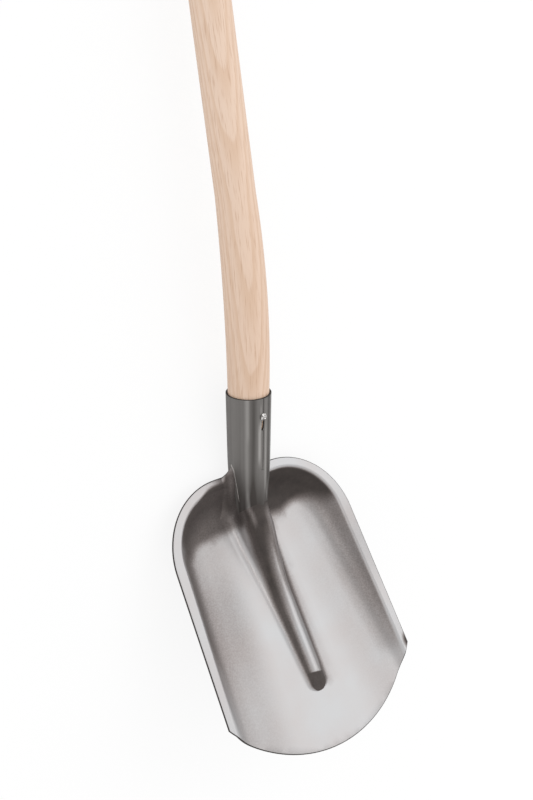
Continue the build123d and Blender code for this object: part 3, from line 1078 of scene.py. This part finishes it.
def weld_path():
    """Points of the weld, the ways in which it stands proud and how deep it is sunk, from left to right."""
    right = []
    for row in reversed(hollow_rows[1:]):
        sunk = mix(weld_flush, weld_sunk, ease(neck, proud_from, row[-1].y))
        right.append((row[-1], from_socket_axis(row[-1]), sunk))
    for point in neck_row[HOLLOW_STEPS:-1]:
        right.append((point, from_socket_axis(point), weld_flush))
    flip = Vector((-1.0, 1.0, 1.0))
    left = [(point * flip, way * flip, sunk) for point, way, sunk in right]
    return left + [(neck_row[-1], from_socket_axis(neck_row[-1]), weld_flush)] + right[::-1]


def weld_rings(mesh, path):
    """A ring of points round each point of the path."""
    rings = []
    for k, (point, way, sunk) in enumerate(path):
        before, after = path[max(k - 1, 0)][0], path[min(k + 1, len(path) - 1)][0]
        along = (after - before).normalized()
        out = (way - along * way.dot(along)).normalized()
        side = along.cross(out)
        ring = []
        for turn in spread(0.0, 2.0 * math.pi, WELD_SIDES)[:-1]:
            spot = point + out * (weld_radius * math.cos(turn) - sunk) + side * weld_radius * math.sin(turn)
            ring.append(mesh.verts.new(spot))
        rings.append(ring)
    return rings


bead = bmesh.new()
join_rings(bead, weld_rings(bead, weld_path()))
neck_weld = make_piece("neck_weld_bead", bead, "neck_weld")
settle(neck_weld)
shine_and_neck_shade_values = [ease(shine_from, shine_full, (lift_off @ point.co).y) for point in neck_weld.data.vertices]
write_attribute(neck_weld, "shine_and_neck_shade", "FLOAT", shine_and_neck_shade_values)

# %% [markdown]
# # The handle
# The handle is round all along: a tenon inside the socket, a short straight lead, a bend and a long
# straight grip with a rounded end. It was bent from a straight piece, so the wood's figure follows the bend.
# A cylinder with a Curve modifier would bend too, but its figure would not. So rings of points along the
# bent axis make it, and each point also keeps its place in the straight piece of wood, in mm, as an
# attribute called grain.

# %% Sizes of the handle in mm and degrees
handle_fit = 0.15
tenon_length = 76.0
tenon_chamfer = 2.0
lead_in = 10.0
bend = math.radians(11.0)
bend_length = 190.0
swell_radius = 21.8
grip_radius = 20.0
grip_length = 900.0
end_radius = 9.0

bend_radius = bend_length / bend
tenon_start = socket_length - tenon_length
lead_start = socket_length + lead_in
handle_stop = lead_start + bend_length + grip_length
print("handle from", tenon_start, "to", handle_stop, "mm from the neck")


# %% The handle's bent axis and its radius
def socket_axis(station):
    """The point (y, z) of the socket's axis at a station."""
    return Vector((axis_y + station * socket_y, axis_z + station * socket_z))


def handle_place(length):
    """The axis point (y, z) and the lift there, that far along from the neck."""
    if length <= lead_start:
        return socket_axis(length), socket_lift
    turned = min((length - lead_start) / bend_radius, bend)
    lift = socket_lift - turned
    bent = Vector((math.sin(socket_lift) - math.sin(lift), math.cos(lift) - math.cos(socket_lift)))
    place = socket_axis(lead_start) + bent * bend_radius
    rest = max(length - lead_start - bend_length, 0.0)
    return place + Vector((math.cos(lift), math.sin(lift))) * rest, lift


def handle_radius(length):
    """The tenon's taper up to the bend, a swell in the middle of the bend, and the grip."""
    tenon = socket_radius(min(length, lead_start)) - socket_wall - handle_fit
    share = min(max((length - lead_start) / bend_length, 0.0), 1.0)
    bow = 4.0 * (swell_radius - (tenon + grip_radius) / 2.0)
    return mix(tenon, grip_radius, share) + bow * share * (1.0 - share)


print("thickness in the bend:", round(2.0 * handle_radius(lead_start + bend_length / 2.0), 1), "mm")

# %% Rings along the handle
# smaller and smaller rings close the flat middle of the free end, and the smallest one that of the tenon
end_rings = (9.0, 5.0, 1.0)
ring_places = [(tenon_start, end_rings[-1]), (tenon_start, handle_radius(tenon_start) - tenon_chamfer)]
for length in spread(tenon_start + tenon_chamfer, lead_start, 10):
    ring_places.append((length, handle_radius(length)))
for length in spread(lead_start, lead_start + bend_length, 38)[1:]:
    ring_places.append((length, handle_radius(length)))
for length in spread(lead_start + bend_length, handle_stop - end_radius, 60)[1:]:
    ring_places.append((length, grip_radius))
for angle in spread(0.0, math.pi / 2.0, 10)[1:]:
    inset = end_radius * (1.0 - math.cos(angle))
    ring_places.append((handle_stop - end_radius * (1.0 - math.sin(angle)), grip_radius - inset))
ring_places += [(handle_stop, radius) for radius in end_rings]
print("handle of", len(ring_places), "rings")

# %% Build the handle and write its grain
HANDLE_SIDES = 72
rod = bmesh.new()
grain_layer = rod.verts.layers.float_vector.new("grain")
rings = []
for length, radius in ring_places:
    place, lift = handle_place(length)
    ring = []
    for k in range(HANDLE_SIDES):
        angle = 2.0 * math.pi * k / HANDLE_SIDES
        across, up = radius * math.sin(angle), radius * math.cos(angle)
        point = rod.verts.new((across, place.x - up * math.sin(lift), place.y + up * math.cos(lift)))
        point[grain_layer] = (across, up, length)
        ring.append(point)
    rings.append(ring)
join_rings(rod, rings)
handle = make_piece("ash_handle", rod, "handle")
settle(handle)

# %% [markdown]
# # The nail
# A round-headed nail, driven through the socket's wall into the wood. Its profile is turned round its axis,
# as a lathe or Blender's Screw modifier would do it. Working the points out here lets a few shallow dents
# from the hammer go into the head, which keep it from looking like a ball bearing.

# %% The nail's profile
nail_radius = 1.7
nail_length = 28.0
nail_point = 5.0
nail_tip_radius = 0.05
nail_head_edge = 0.5
nail_head_dome = 1.5
nail_head_gap = 0.05
# the smallest ring of the dome lies at this angle from its middle
crown_turn = 0.02

nail_seat = socket_radius(nail_station) + nail_head_gap
dome_sphere = (nail_head_radius**2 + nail_head_dome**2) / (2.0 * nail_head_dome)
dome_turn = math.asin(nail_head_radius / dome_sphere)
nail_tip = nail_seat - nail_length
nail_profile = [(nail_tip_radius, nail_tip), (nail_radius, nail_tip + nail_point)]
nail_profile += [(nail_radius, nail_seat), (nail_head_radius, nail_seat)]
for turn in spread(dome_turn, crown_turn, 10):
    rise = dome_sphere * (math.cos(turn) - math.cos(dome_turn))
    nail_profile.append((dome_sphere * math.sin(turn), nail_seat + nail_head_edge + rise))
print("the nail's profile has", len(nail_profile), "points")

# %% Turn the nail
NAIL_SIDES = 40
dent_depth = 0.16


def hammer_dent(across, along):
    """How deep the hammer's marks, 3 to 4 mm apart, are at a point of the head."""
    waves = math.sin(across * 2.1 + 0.6) * math.sin(along * 1.7 + 0.4)
    return dent_depth * max(waves, 0.0)


pin = bmesh.new()
foot = socket_axis(nail_station)
rings = []
for radius, height in nail_profile:
    ring = []
    for k in range(NAIL_SIDES):
        angle = 2.0 * math.pi * k / NAIL_SIDES
        across, along = radius * math.cos(angle), radius * math.sin(angle)
        lift = height - (hammer_dent(across, along) if height > nail_seat + nail_head_edge else 0.0)
        y = foot.x + lift * front_y + along * socket_y
        z = foot.y + lift * front_z + along * socket_z
        ring.append(pin.verts.new((across, y, z)))
    rings.append(ring)
join_rings(pin, rings)
nail = make_piece("round_head_nail", pin, "nail")
settle(nail)

# %% [markdown]
# # Materials
# Every finish here is bare steel or bare wood, so each material is one Principled shader fed by patterns.
# Colours are written as sRGB hex values, the way a colour picker shows them, and one function turns them to
# the linear values that a shader takes. Another adds a node, sets it and links its inputs. The sizes of the
# patterns are given in mm. Painted textures would need unwrapping; patterns in space don't.

# %% Helpers for materials
# the numbers of a Mix node's two colours; the inputs before them are for numbers and vectors
COLOUR_A, COLOUR_B = 6, 7


def linear(hex_colour):
    """An sRGB hex colour as linear red, green, blue and alpha."""
    shares = [int(hex_colour[k : k + 2], 16) / 255.0 for k in (1, 3, 5)]
    return [s / 12.92 if s <= 0.04045 else ((s + 0.055) / 1.055) ** 2.4 for s in shares] + [1.0]


def set_inputs(tree, node, inputs):
    """Sets inputs, by name or number, to a value, a socket or a node, which stands for its first output."""
    for key, value in inputs.items():
        if isinstance(value, bpy.types.Node):
            value = next(output for output in value.outputs if output.enabled)
        if isinstance(value, bpy.types.NodeSocket):
            tree.links.new(value, node.inputs[key])
        else:
            node.inputs[key].default_value = value


def add_node(tree, kind, inputs, **settings):
    """Adds a shader node with its settings and inputs."""
    node = tree.nodes.new("ShaderNode" + kind)
    for name, value in settings.items():
        setattr(node, name, value)
    set_inputs(tree, node, inputs)
    return node


def new_material(name):
    """A node material with its shader and output."""
    material = bpy.data.materials.new(name)
    material.use_nodes = True
    tree = material.node_tree
    return material, tree, tree.nodes["Principled BSDF"]


print("a middle grey of #808080 is", round(linear("#808080")[0], 3), "in linear light")

# %% [markdown]
# ## Ground sheet steel with its mill skin
# The blade is bare carbon steel, ground fine where the belt came: to the eye a soft broad shine with faint
# clouds and a little warmth. Where it didn't come, the dull dark skin of the rolling mill is left, and the
# border between the two is speckled. The blade's attribute of polish, roughened by noise, decides which of
# the two a point shows. As that attribute also carries painted light and shade, the dark skin stands for
# painted shade in places and the bright steel for painted highlights. Two materials with a sharp border
# would be simpler, but the real one is soft.

# %% Where the blade steel is ground
# in mm: the faint clouds on the ground steel, the blotches of the mill skin and the specks at its border
cloud_size, blotch_size, speck_size = 60.0, 9.0, 1.6
blade_steel, tree, shader = new_material("ground_sheet_steel_with_mill_skin_and_painted_light")
place = add_node(tree, "TexCoord", {}).outputs["Object"]
polish_and_painted_light = add_node(tree, "Attribute", {}, attribute_name="polish_and_painted_light").outputs["Fac"]
specks = add_node(tree, "TexNoise", {"Vector": place, "Scale": 1.0 / (speck_size * MM), "Detail": 3.0})
scatter = add_node(tree, "MapRange", {"Value": specks, "To Min": -0.75, "To Max": 0.75})
# polish times what is missing from it is highest at the border, so that is where the specks show
missed = add_node(tree, "Math", {0: 1.0, 1: polish_and_painted_light}, operation="SUBTRACT")
border = add_node(tree, "Math", {0: polish_and_painted_light, 1: missed}, operation="MULTIPLY")
ground = add_node(
    tree, "Math", {0: scatter, 1: border, 2: polish_and_painted_light}, operation="MULTIPLY_ADD", use_clamp=True
)
print(blade_steel.name, "has specks of", speck_size, "mm at the border of its mill skin")

# %% Colour and shine of the blade steel
clouds = add_node(tree, "TexNoise", {"Vector": place, "Scale": 1.0 / (cloud_size * MM), "Detail": 4.0})
worn = add_node(
    tree, "MapRange", {"Value": clouds, "From Min": 0.35, "From Max": 0.65, "To Min": 0.65, "To Max": 1.0}
)
clean = add_node(tree, "Math", {0: worn, 1: ground}, operation="MULTIPLY")
satin = add_node(
    tree, "Mix", {0: clean, COLOUR_A: linear("#BDB1AD"), COLOUR_B: linear("#C3C3C4")}, data_type="RGBA"
)
blotches = add_node(tree, "TexNoise", {"Vector": place, "Scale": 1.0 / (blotch_size * MM), "Detail": 5.0})
scale = add_node(
    tree, "Mix", {0: blotches, COLOUR_A: linear("#26201E"), COLOUR_B: linear("#4A423E")}, data_type="RGBA"
)
tone = add_node(tree, "Mix", {0: ground, COLOUR_A: scale, COLOUR_B: satin}, data_type="RGBA")
bare = add_node(tree, "MapRange", {"Value": ground, "From Max": 0.5, "To Min": 0.4, "To Max": 1.0})
rough = add_node(tree, "MapRange", {"Value": ground, "To Min": 0.50, "To Max": 0.36})
# the belt's grit leaves scratches of about 0.1 mm; they are drawn ten times as coarse, so that they show
grit_size = 1.0
grit = add_node(tree, "TexNoise", {"Vector": place, "Scale": 1.0 / (grit_size * MM), "Detail": 2.0})
bump = add_node(tree, "Bump", {"Height": grit, "Strength": 0.12, "Distance": 0.3 * MM})
set_inputs(tree, shader, {"Base Color": tone, "Metallic": bare, "Roughness": rough, "Normal": bump})
print(blade_steel.name, "has", len(tree.nodes), "nodes")

# %% [markdown]
# ## Sheared edge
# The sheet was cut in a press, and its edges were left as they broke: to the eye they are dark, dull and a
# little uneven, without the shine of the faces. One noise between two dark tones is enough for a surface
# that is only 2 mm wide.

# %% Edge steel
nick_size = 2.0
edge_steel, tree, shader = new_material("sheared_steel_edge")
place = add_node(tree, "TexCoord", {}).outputs["Object"]
nicks = add_node(tree, "TexNoise", {"Vector": place, "Scale": 1.0 / (nick_size * MM), "Detail": 2.0})
tone = add_node(
    tree, "Mix", {0: nicks, COLOUR_A: linear("#2A2523"), COLOUR_B: linear("#423D3A")}, data_type="RGBA"
)
set_inputs(tree, shader, {"Base Color": tone, "Roughness": 0.8})
print(edge_steel.name, "has", len(tree.nodes), "nodes")

# %% [markdown]
# ## Rolled steel of the socket
# The socket has the mill's skin all over, so it looks dull and dark. Over it lie painted streaks along the
# tube: painted highlights where light runs down the round socket, and painted shade down its sides and
# beside the seam. The socket is also painted darker towards the neck, a painted shade. Noise alone would put
# such streaks anywhere. Here each streak is a strip of the flat sheet, placed by its distance from the front
# centre line, and fine lines of noise lie over them.

# %% The skin along the socket
line_width, line_length = 3.5, 130.0
# the socket is painted darker towards the neck: painted shade, full below the first station and gone above
# the second
neck_shade_until, neck_shade_gone_by = -14.0, 46.0
socket_steel, tree, shader = new_material("mill_skin_rolled_steel_with_painted_light")
rolled = add_node(tree, "Attribute", {}, attribute_name="rolled").outputs["Vector"]
arc, station, _ = add_node(tree, "SeparateXYZ", {0: rolled}).outputs
stretch = add_node(tree, "Mapping", {"Vector": rolled, "Scale": (1.0 / line_width, 1.0 / line_length, 1.0)})
lines = add_node(tree, "TexNoise", {"Vector": stretch, "Scale": 1.0, "Detail": 3.0})
even = add_node(tree, "MapRange", {"Value": lines, "To Min": 0.14, "To Max": 0.28})
out_of_neck_shade = add_node(
    tree,
    "MapRange",
    {"Value": station, "From Min": neck_shade_until, "From Max": neck_shade_gone_by},
    interpolation_type="SMOOTHSTEP",
)
pale_and_painted_streaks = add_node(tree, "Math", {0: even, 1: out_of_neck_shade}, operation="MULTIPLY")
print(socket_steel.name, "has lines of", line_width, "by", line_length, "mm")

# %% Painted streaks of highlight and shade
# in mm: each painted streak's middle from the front centre line, half its width, where along the socket it
# starts and ends; and how much paler it is: above zero a painted highlight, below zero painted shade
painted_streaks = (
    (-46.0, 16.0, 20.0, 140.0, -0.15),
    (-31.0, 5.0, -40.0, 22.0, 0.22),
    (-24.0, 6.0, -40.0, 4.0, 0.07),
    (-17.0, 3.4, -40.0, 140.0, 0.16),
    (-16.0, 3.0, 6.0, 10.0, 0.22),
    (-14.6, 2.8, -40.0, 0.0, 0.30),
    (-15.6, 2.6, 72.0, 140.0, 0.12),
    (-10.5, 5.0, -40.0, 140.0, -0.15),
    (-4.0, 2.6, 46.0, 86.0, 0.38),
    (-2.9, 1.6, 85.0, 89.0, 0.45),
    (-2.6, 1.5, 102.0, 104.0, 0.5),
    (0.6, 1.6, 44.0, 140.0, -0.10),
    (3.6, 1.9, 14.0, 88.0, 0.20),
    (7.4, 2.4, 4.0, 14.0, 0.28),
    (8.8, 4.0, 26.0, 140.0, -0.30),
)
streak_fade = 9.0
for middle, half, start, end, amount in painted_streaks:
    offset = add_node(tree, "Math", {0: arc, 1: middle}, operation="SUBTRACT")
    away = add_node(tree, "Math", {0: offset}, operation="ABSOLUTE")
    painted_streak = add_node(
        tree,
        "MapRange",
        {"Value": away, "From Max": half, "To Min": amount, "To Max": 0.0},
        interpolation_type="SMOOTHSTEP",
    )
    above = add_node(
        tree,
        "MapRange",
        {"Value": station, "From Min": start - streak_fade, "From Max": start + streak_fade},
        interpolation_type="SMOOTHSTEP",
    )
    below = add_node(
        tree,
        "MapRange",
        {"Value": station, "From Min": end + streak_fade, "From Max": end - streak_fade},
        interpolation_type="SMOOTHSTEP",
    )
    between = add_node(tree, "Math", {0: above, 1: below}, operation="MULTIPLY")
    pale_and_painted_streaks = add_node(tree, "Math", {0: painted_streak, 1: between, 2: pale_and_painted_streaks}, operation="MULTIPLY_ADD")
print(len(painted_streaks), "marks of the roller")

# %% Colour and shine of the socket steel
spot_size = 9.0
pale_and_painted_streaks = add_node(tree, "Clamp", {"Value": pale_and_painted_streaks})
# the skin's dark tone is painted darker still towards the neck: painted shade
skin_with_neck_shade = add_node(
    tree, "Mix", {0: out_of_neck_shade, COLOUR_A: linear("#38322F"), COLOUR_B: linear("#4C4845")}, data_type="RGBA"
)
skin_tone = add_node(
    tree, "Mix", {0: pale_and_painted_streaks, COLOUR_A: skin_with_neck_shade, COLOUR_B: linear("#CDCAC7")}, data_type="RGBA"
)
bare = add_node(tree, "MapRange", {"Value": out_of_neck_shade, "To Min": 0.4, "To Max": 0.6})
place = add_node(tree, "TexCoord", {}).outputs["Object"]
spots = add_node(tree, "TexNoise", {"Vector": place, "Scale": 1.0 / (spot_size * MM), "Detail": 4.0})
rough = add_node(tree, "MapRange", {"Value": spots, "To Min": 0.38, "To Max": 0.52})
bump = add_node(tree, "Bump", {"Height": lines, "Strength": 0.15, "Distance": 0.3 * MM})
set_inputs(tree, shader, {"Base Color": skin_tone, "Metallic": bare, "Roughness": rough, "Normal": bump})
print(socket_steel.name, "has", len(tree.nodes), "nodes")

# %% [markdown]
# ## Ground weld bead
# Over the neck the weld was ground off with the sheet beside it, and there it is painted as dark as the
# neck of the socket, a painted shade, so it can't be told from the sheet. Beside the socket its back was
# brushed bright. A second material would end in a hard line, so an attribute on the bead says how much of
# each a point has, and a noise of the size of the bead's ripples makes the bright part uneven.

# %% Weld steel
ripple_size = 1.5
weld_steel, tree, shader = new_material("ground_weld_bead")
place = add_node(tree, "TexCoord", {}).outputs["Object"]
shine_and_neck_shade = add_node(tree, "Attribute", {}, attribute_name="shine_and_neck_shade").outputs["Fac"]
ripple = add_node(tree, "TexNoise", {"Vector": place, "Scale": 1.0 / (ripple_size * MM), "Detail": 3.0})
brushed = add_node(
    tree, "Mix", {0: ripple, COLOUR_A: linear("#9A9592"), COLOUR_B: linear("#D2CECB")}, data_type="RGBA"
)
# over the neck the bead takes a dark tone: painted shade like the socket's neck
tone = add_node(tree, "Mix", {0: shine_and_neck_shade, COLOUR_A: linear("#463F3C"), COLOUR_B: brushed}, data_type="RGBA")
set_inputs(tree, shader, {"Base Color": tone, "Metallic": 1.0, "Roughness": 0.42})
print(weld_steel.name, "has", len(tree.nodes), "nodes")

# %% [markdown]
# ## Bright drawn wire
# Nails are cut from drawn wire, which leaves them bright and smooth. The hammer left grey bruises on the
# head. One noise gives both their colour and their shallow relief, so that the two lie in the same places.

# %% Nail steel
bruise_size = 1.6
nail_steel, tree, shader = new_material("bright_drawn_wire")
place = add_node(tree, "TexCoord", {}).outputs["Object"]
bruises = add_node(tree, "TexNoise", {"Vector": place, "Scale": 1.0 / (bruise_size * MM), "Detail": 2.0})
bruised = add_node(
    tree,
    "MapRange",
    {"Value": bruises, "From Min": 0.42, "From Max": 0.58},
    interpolation_type="SMOOTHSTEP",
)
tone = add_node(
    tree, "Mix", {0: bruised, COLOUR_A: linear("#837F7C"), COLOUR_B: linear("#E2E0DE")}, data_type="RGBA"
)
bump = add_node(tree, "Bump", {"Height": bruises, "Strength": 0.3, "Distance": 0.4 * MM})
set_inputs(tree, shader, {"Base Color": tone, "Normal": bump, "Metallic": 1.0, "Roughness": 0.25})
print(nail_steel.name, "has", len(tree.nodes), "nodes")

# %% [markdown]
# ## Sanded ash
# The handle is ash, sanded and left bare: pale, with a slight pink and only a soft sheen. Its year rings
# run nearly straight along it; where the surface runs flat through a ring they open into long pointed
# flames. A Wave texture could draw rings, but here they are distances from the tree's heart, which lies
# outside the handle and not quite along it, so the flames come by themselves. Short dark dashes along the
# grain are pores. The wood is painted paler towards its left side, a painted light that lifts the side the
# lamps leave darker, and it gets paler away from the socket.

# %% Year rings of the ash
heart_x, heart_z = 23.0, -26.0
heart_drift = 0.045
ring_step = 3.2
sway_width, sway_length, sway_reach = 30.0, 260.0, 5.0
ash, tree, shader = new_material("sanded_ash")
grain = add_node(tree, "Attribute", {}, attribute_name="grain").outputs["Vector"]
slow = add_node(
    tree, "Mapping", {"Vector": grain, "Scale": (1.0 / sway_width, 1.0 / sway_width, 1.0 / sway_length)}
)
sway = add_node(tree, "TexNoise", {"Vector": slow, "Scale": 1.0, "Detail": 2.0})
across, up, along = add_node(tree, "SeparateXYZ", {0: grain}).outputs
heart_at = add_node(tree, "Math", {0: along, 1: heart_drift, 2: -heart_z}, operation="MULTIPLY_ADD")
from_x = add_node(tree, "Math", {0: across, 1: heart_x}, operation="SUBTRACT")
from_z = add_node(tree, "Math", {0: up, 1: heart_at}, operation="ADD")
spoke = add_node(tree, "CombineXYZ", {0: from_x, 1: from_z})
reach = add_node(tree, "VectorMath", {0: spoke}, operation="LENGTH")
swayed = add_node(tree, "Math", {0: sway, 1: sway_reach, 2: reach}, operation="MULTIPLY_ADD")
years = add_node(tree, "Math", {0: swayed, 1: ring_step}, operation="DIVIDE")
year = add_node(tree, "Math", {0: years}, operation="FRACT")
early = add_node(
    tree, "MapRange", {"Value": year, "From Min": 0.25, "From Max": 0.88}, interpolation_type="SMOOTHSTEP"
)
late = add_node(
    tree, "MapRange", {"Value": year, "From Min": 1.0, "From Max": 0.9}, interpolation_type="SMOOTHSTEP"
)
porous = add_node(tree, "Math", {0: early, 1: late}, operation="MULTIPLY")
print(ash.name, "has a year ring every", ring_step, "mm")

# %% Pores, colour and shine of the ash
# real pores are about 0.3 mm wide; they are drawn three times as wide, so that they show
pore_width, pore_length = 0.9, 22.0
# the paler share grows between these lengths from the neck, and towards the left side up to this far from
# the heart, where it is a painted light
paler_from, paler_full = 110.0, 420.0
paler_side = 45.0
fine = add_node(
    tree, "Mapping", {"Vector": grain, "Scale": (1.0 / pore_width, 1.0 / pore_width, 1.0 / pore_length)}
)
pores = add_node(tree, "TexNoise", {"Vector": fine, "Scale": 1.0, "Detail": 2.0})
pore_dark = add_node(
    tree, "MapRange", {"Value": pores, "From Min": 0.50, "From Max": 0.78}, interpolation_type="SMOOTHSTEP"
)
paler_away_from_socket = add_node(
    tree, "MapRange", {"Value": along, "From Min": paler_from, "From Max": paler_full, "To Max": 0.5}
)
# paler towards the left side: painted light on the side the lamps leave darker
painted_light_on_left = add_node(tree, "MapRange", {"Value": from_x, "From Max": -paler_side, "To Max": 0.5})
paler_share = add_node(tree, "Math", {0: paler_away_from_socket, 1: painted_light_on_left}, operation="ADD")
heart_tone = add_node(
    tree, "Mix", {0: porous, COLOUR_A: linear("#E4C5AD"), COLOUR_B: linear("#DAB89D")}, data_type="RGBA"
)
paler_tone = add_node(
    tree, "Mix", {0: porous, COLOUR_A: linear("#F2D7C2"), COLOUR_B: linear("#E9CAB1")}, data_type="RGBA"
)
ring_tone = add_node(tree, "Mix", {0: paler_share, COLOUR_A: heart_tone, COLOUR_B: paler_tone}, data_type="RGBA")
wood_tone = add_node(
    tree, "Mix", {0: pore_dark, COLOUR_A: ring_tone, COLOUR_B: linear("#D3AF93")}, data_type="RGBA"
)
bump = add_node(tree, "Bump", {"Height": pores, "Strength": 0.08, "Distance": 0.2 * MM})
set_inputs(tree, shader, {"Base Color": wood_tone, "Normal": bump, "Roughness": 0.48})
print(ash.name, "has", len(tree.nodes), "nodes")

# %% [markdown]
# ## Each piece gets its finish
# The pieces were made with empty material slots, the two sheets with a second one for their cut edges. Each
# could have got its material when it was made, but filling the slots in one place shows at a glance what
# each piece is made of.

# %% Give the pieces their materials
for piece, materials in (
    (blade, (blade_steel, edge_steel)),
    (socket, (socket_steel, edge_steel)),
    (neck_weld, (weld_steel,)),
    (handle, (ash,)),
    (nail, (nail_steel,)),
):
    for k, material in enumerate(materials):
        piece.data.materials[k] = material
    print(piece.name, [material.name for material in materials])

# %% [markdown]
# # The camera
# The camera stands where the photograph was taken from. Its place and its three axes were found in the
# blade's frame, by matching the outline of the blade, the socket and the handle. It could be placed by eye,
# but then nothing could be compared with the photograph. Blender wants the lens in mm of its sensor, so the
# focal length is turned from pixels into those. The axes are rounded, so the nearest rotation is taken.

# %% Camera
IMAGE_HEIGHT = 800.0
FOCAL_PIXELS = 1420.6
camera_on_blade = Vector((-854.1, 100.4, 1224.5))
camera_axes = Matrix(((0.7561, 0.2499, -0.6049), (-0.4026, 0.9063, -0.1287), (0.5160, 0.3408, 0.7858)))
camera = bpy.data.objects.new("camera", bpy.data.cameras.new("camera"))
bpy.context.scene.collection.objects.link(camera)
camera.data.lens = FOCAL_PIXELS * camera.data.sensor_width / IMAGE_HEIGHT
turned = (Matrix.Rotation(-tilt, 3, "X") @ camera_axes).to_quaternion().to_matrix().to_4x4()
camera.matrix_world = Matrix.Translation(lay @ camera_on_blade) @ turned
bpy.context.scene.camera = camera
print("camera at", [round(value, 3) for value in camera.location], "lens", round(camera.data.lens, 1))

# %% [markdown]
# # The floor
# The shovel lies on a clean white sheet of paper. A white plane under strong lamps would do, but those
# lamps would bleach the steel. So the floor's material asks what kind of ray has come. For the camera, and
# for rays that were mirrored or came through glass, it is paper that glows to a clean white, with a grey
# shade on it that keeps the soft shadow under the shovel. For all other rays it is plain white paper, so
# that its glow lights nothing.

# %% Floor
floor_size = 12.0
floor_drop = 0.5 * MM
floor_mesh = bmesh.new()
bmesh.ops.create_grid(floor_mesh, x_segments=1, y_segments=1, size=floor_size)
floor_data = bpy.data.meshes.new("studio_floor")
floor_mesh.to_mesh(floor_data)
floor_mesh.free()
floor = bpy.data.objects.new("studio_floor", floor_data)
floor.location.z = -floor_drop
bpy.context.scene.collection.objects.link(floor)
print(floor.name, "lies", floor_drop, "m below the shovel")

# %% Paper of the floor
paper, tree, shader = new_material("white_studio_floor")
set_inputs(tree, shader, {"Base Color": linear("#E6E6E6"), "Roughness": 0.9})
ray_kinds = add_node(tree, "LightPath", {}).outputs
seen = ray_kinds["Is Camera Ray"]
for kind in ("Is Glossy Ray", "Is Transmission Ray"):
    seen = add_node(tree, "Math", {0: seen, 1: ray_kinds[kind]}, operation="MAXIMUM")
shade = add_node(tree, "BsdfDiffuse", {"Color": linear("#6E6E6E")})
glow = add_node(tree, "Emission", {"Color": linear("#FFFFFF"), "Strength": 0.85})
lit = add_node(tree, "AddShader", {0: shade, 1: glow})
either = add_node(tree, "MixShader", {0: seen, 1: shader, 2: lit})
set_inputs(tree, tree.nodes["Material Output"], {"Surface": either})
floor.data.materials.append(paper)
print(paper.name, "has", len(tree.nodes), "nodes")

# %% [markdown]
# # Light
# Steel shows what stands round it, so most of the light is large and soft. A big softbox behind on the
# right lights the pan, a narrow strip low in front on the right gives glints, and a small lamp right behind
# the camera fills in. Even grey light comes from the world. Point lamps would be simpler, but steel mirrors
# them as small hard spots. A lamp's power is worked out from its area, so its brightness stays when its
# size is changed.

# %% Lamps and world
WORLD_GREY = (0.85, 0.85, 0.85, 1.0)
pan_centre = lay @ Vector((0.0, 90.0, 0.0))


def add_softbox(name, way, distance, width, height, radiance):
    """A lamp of that width and height, in m, that looks at the pan; a radiance of 1 looks white."""
    lamp = bpy.data.lights.new(name, "AREA")
    lamp.shape = "RECTANGLE"
    lamp.size = width
    lamp.size_y = height
    lamp.energy = radiance * math.pi * width * height
    box = bpy.data.objects.new(name, lamp)
    bpy.context.scene.collection.objects.link(box)
    way = Vector(way).normalized()
    box.location = pan_centre + way * distance
    box.rotation_euler = (-way).to_track_quat("-Z", "Y").to_euler()
    print(name, "has", round(lamp.energy, 2), "W")


add_softbox("softbox_right", (0.60, 0.45, 0.66), distance=2.4, width=2.4, height=2.4, radiance=0.50)
add_softbox("strip_right", (0.77, -0.60, 0.22), distance=1.5, width=0.12, height=0.8, radiance=6.0)
add_softbox(
    "lamp_by_camera", camera.location - pan_centre, distance=1.6, width=0.3, height=0.3, radiance=4.0
)
world = bpy.data.worlds.new("studio")
bpy.context.scene.world = world
world.use_nodes = True
world.node_tree.nodes["Background"].inputs["Color"].default_value = WORLD_GREY
bpy.context.scene.view_settings.view_transform = "Standard"
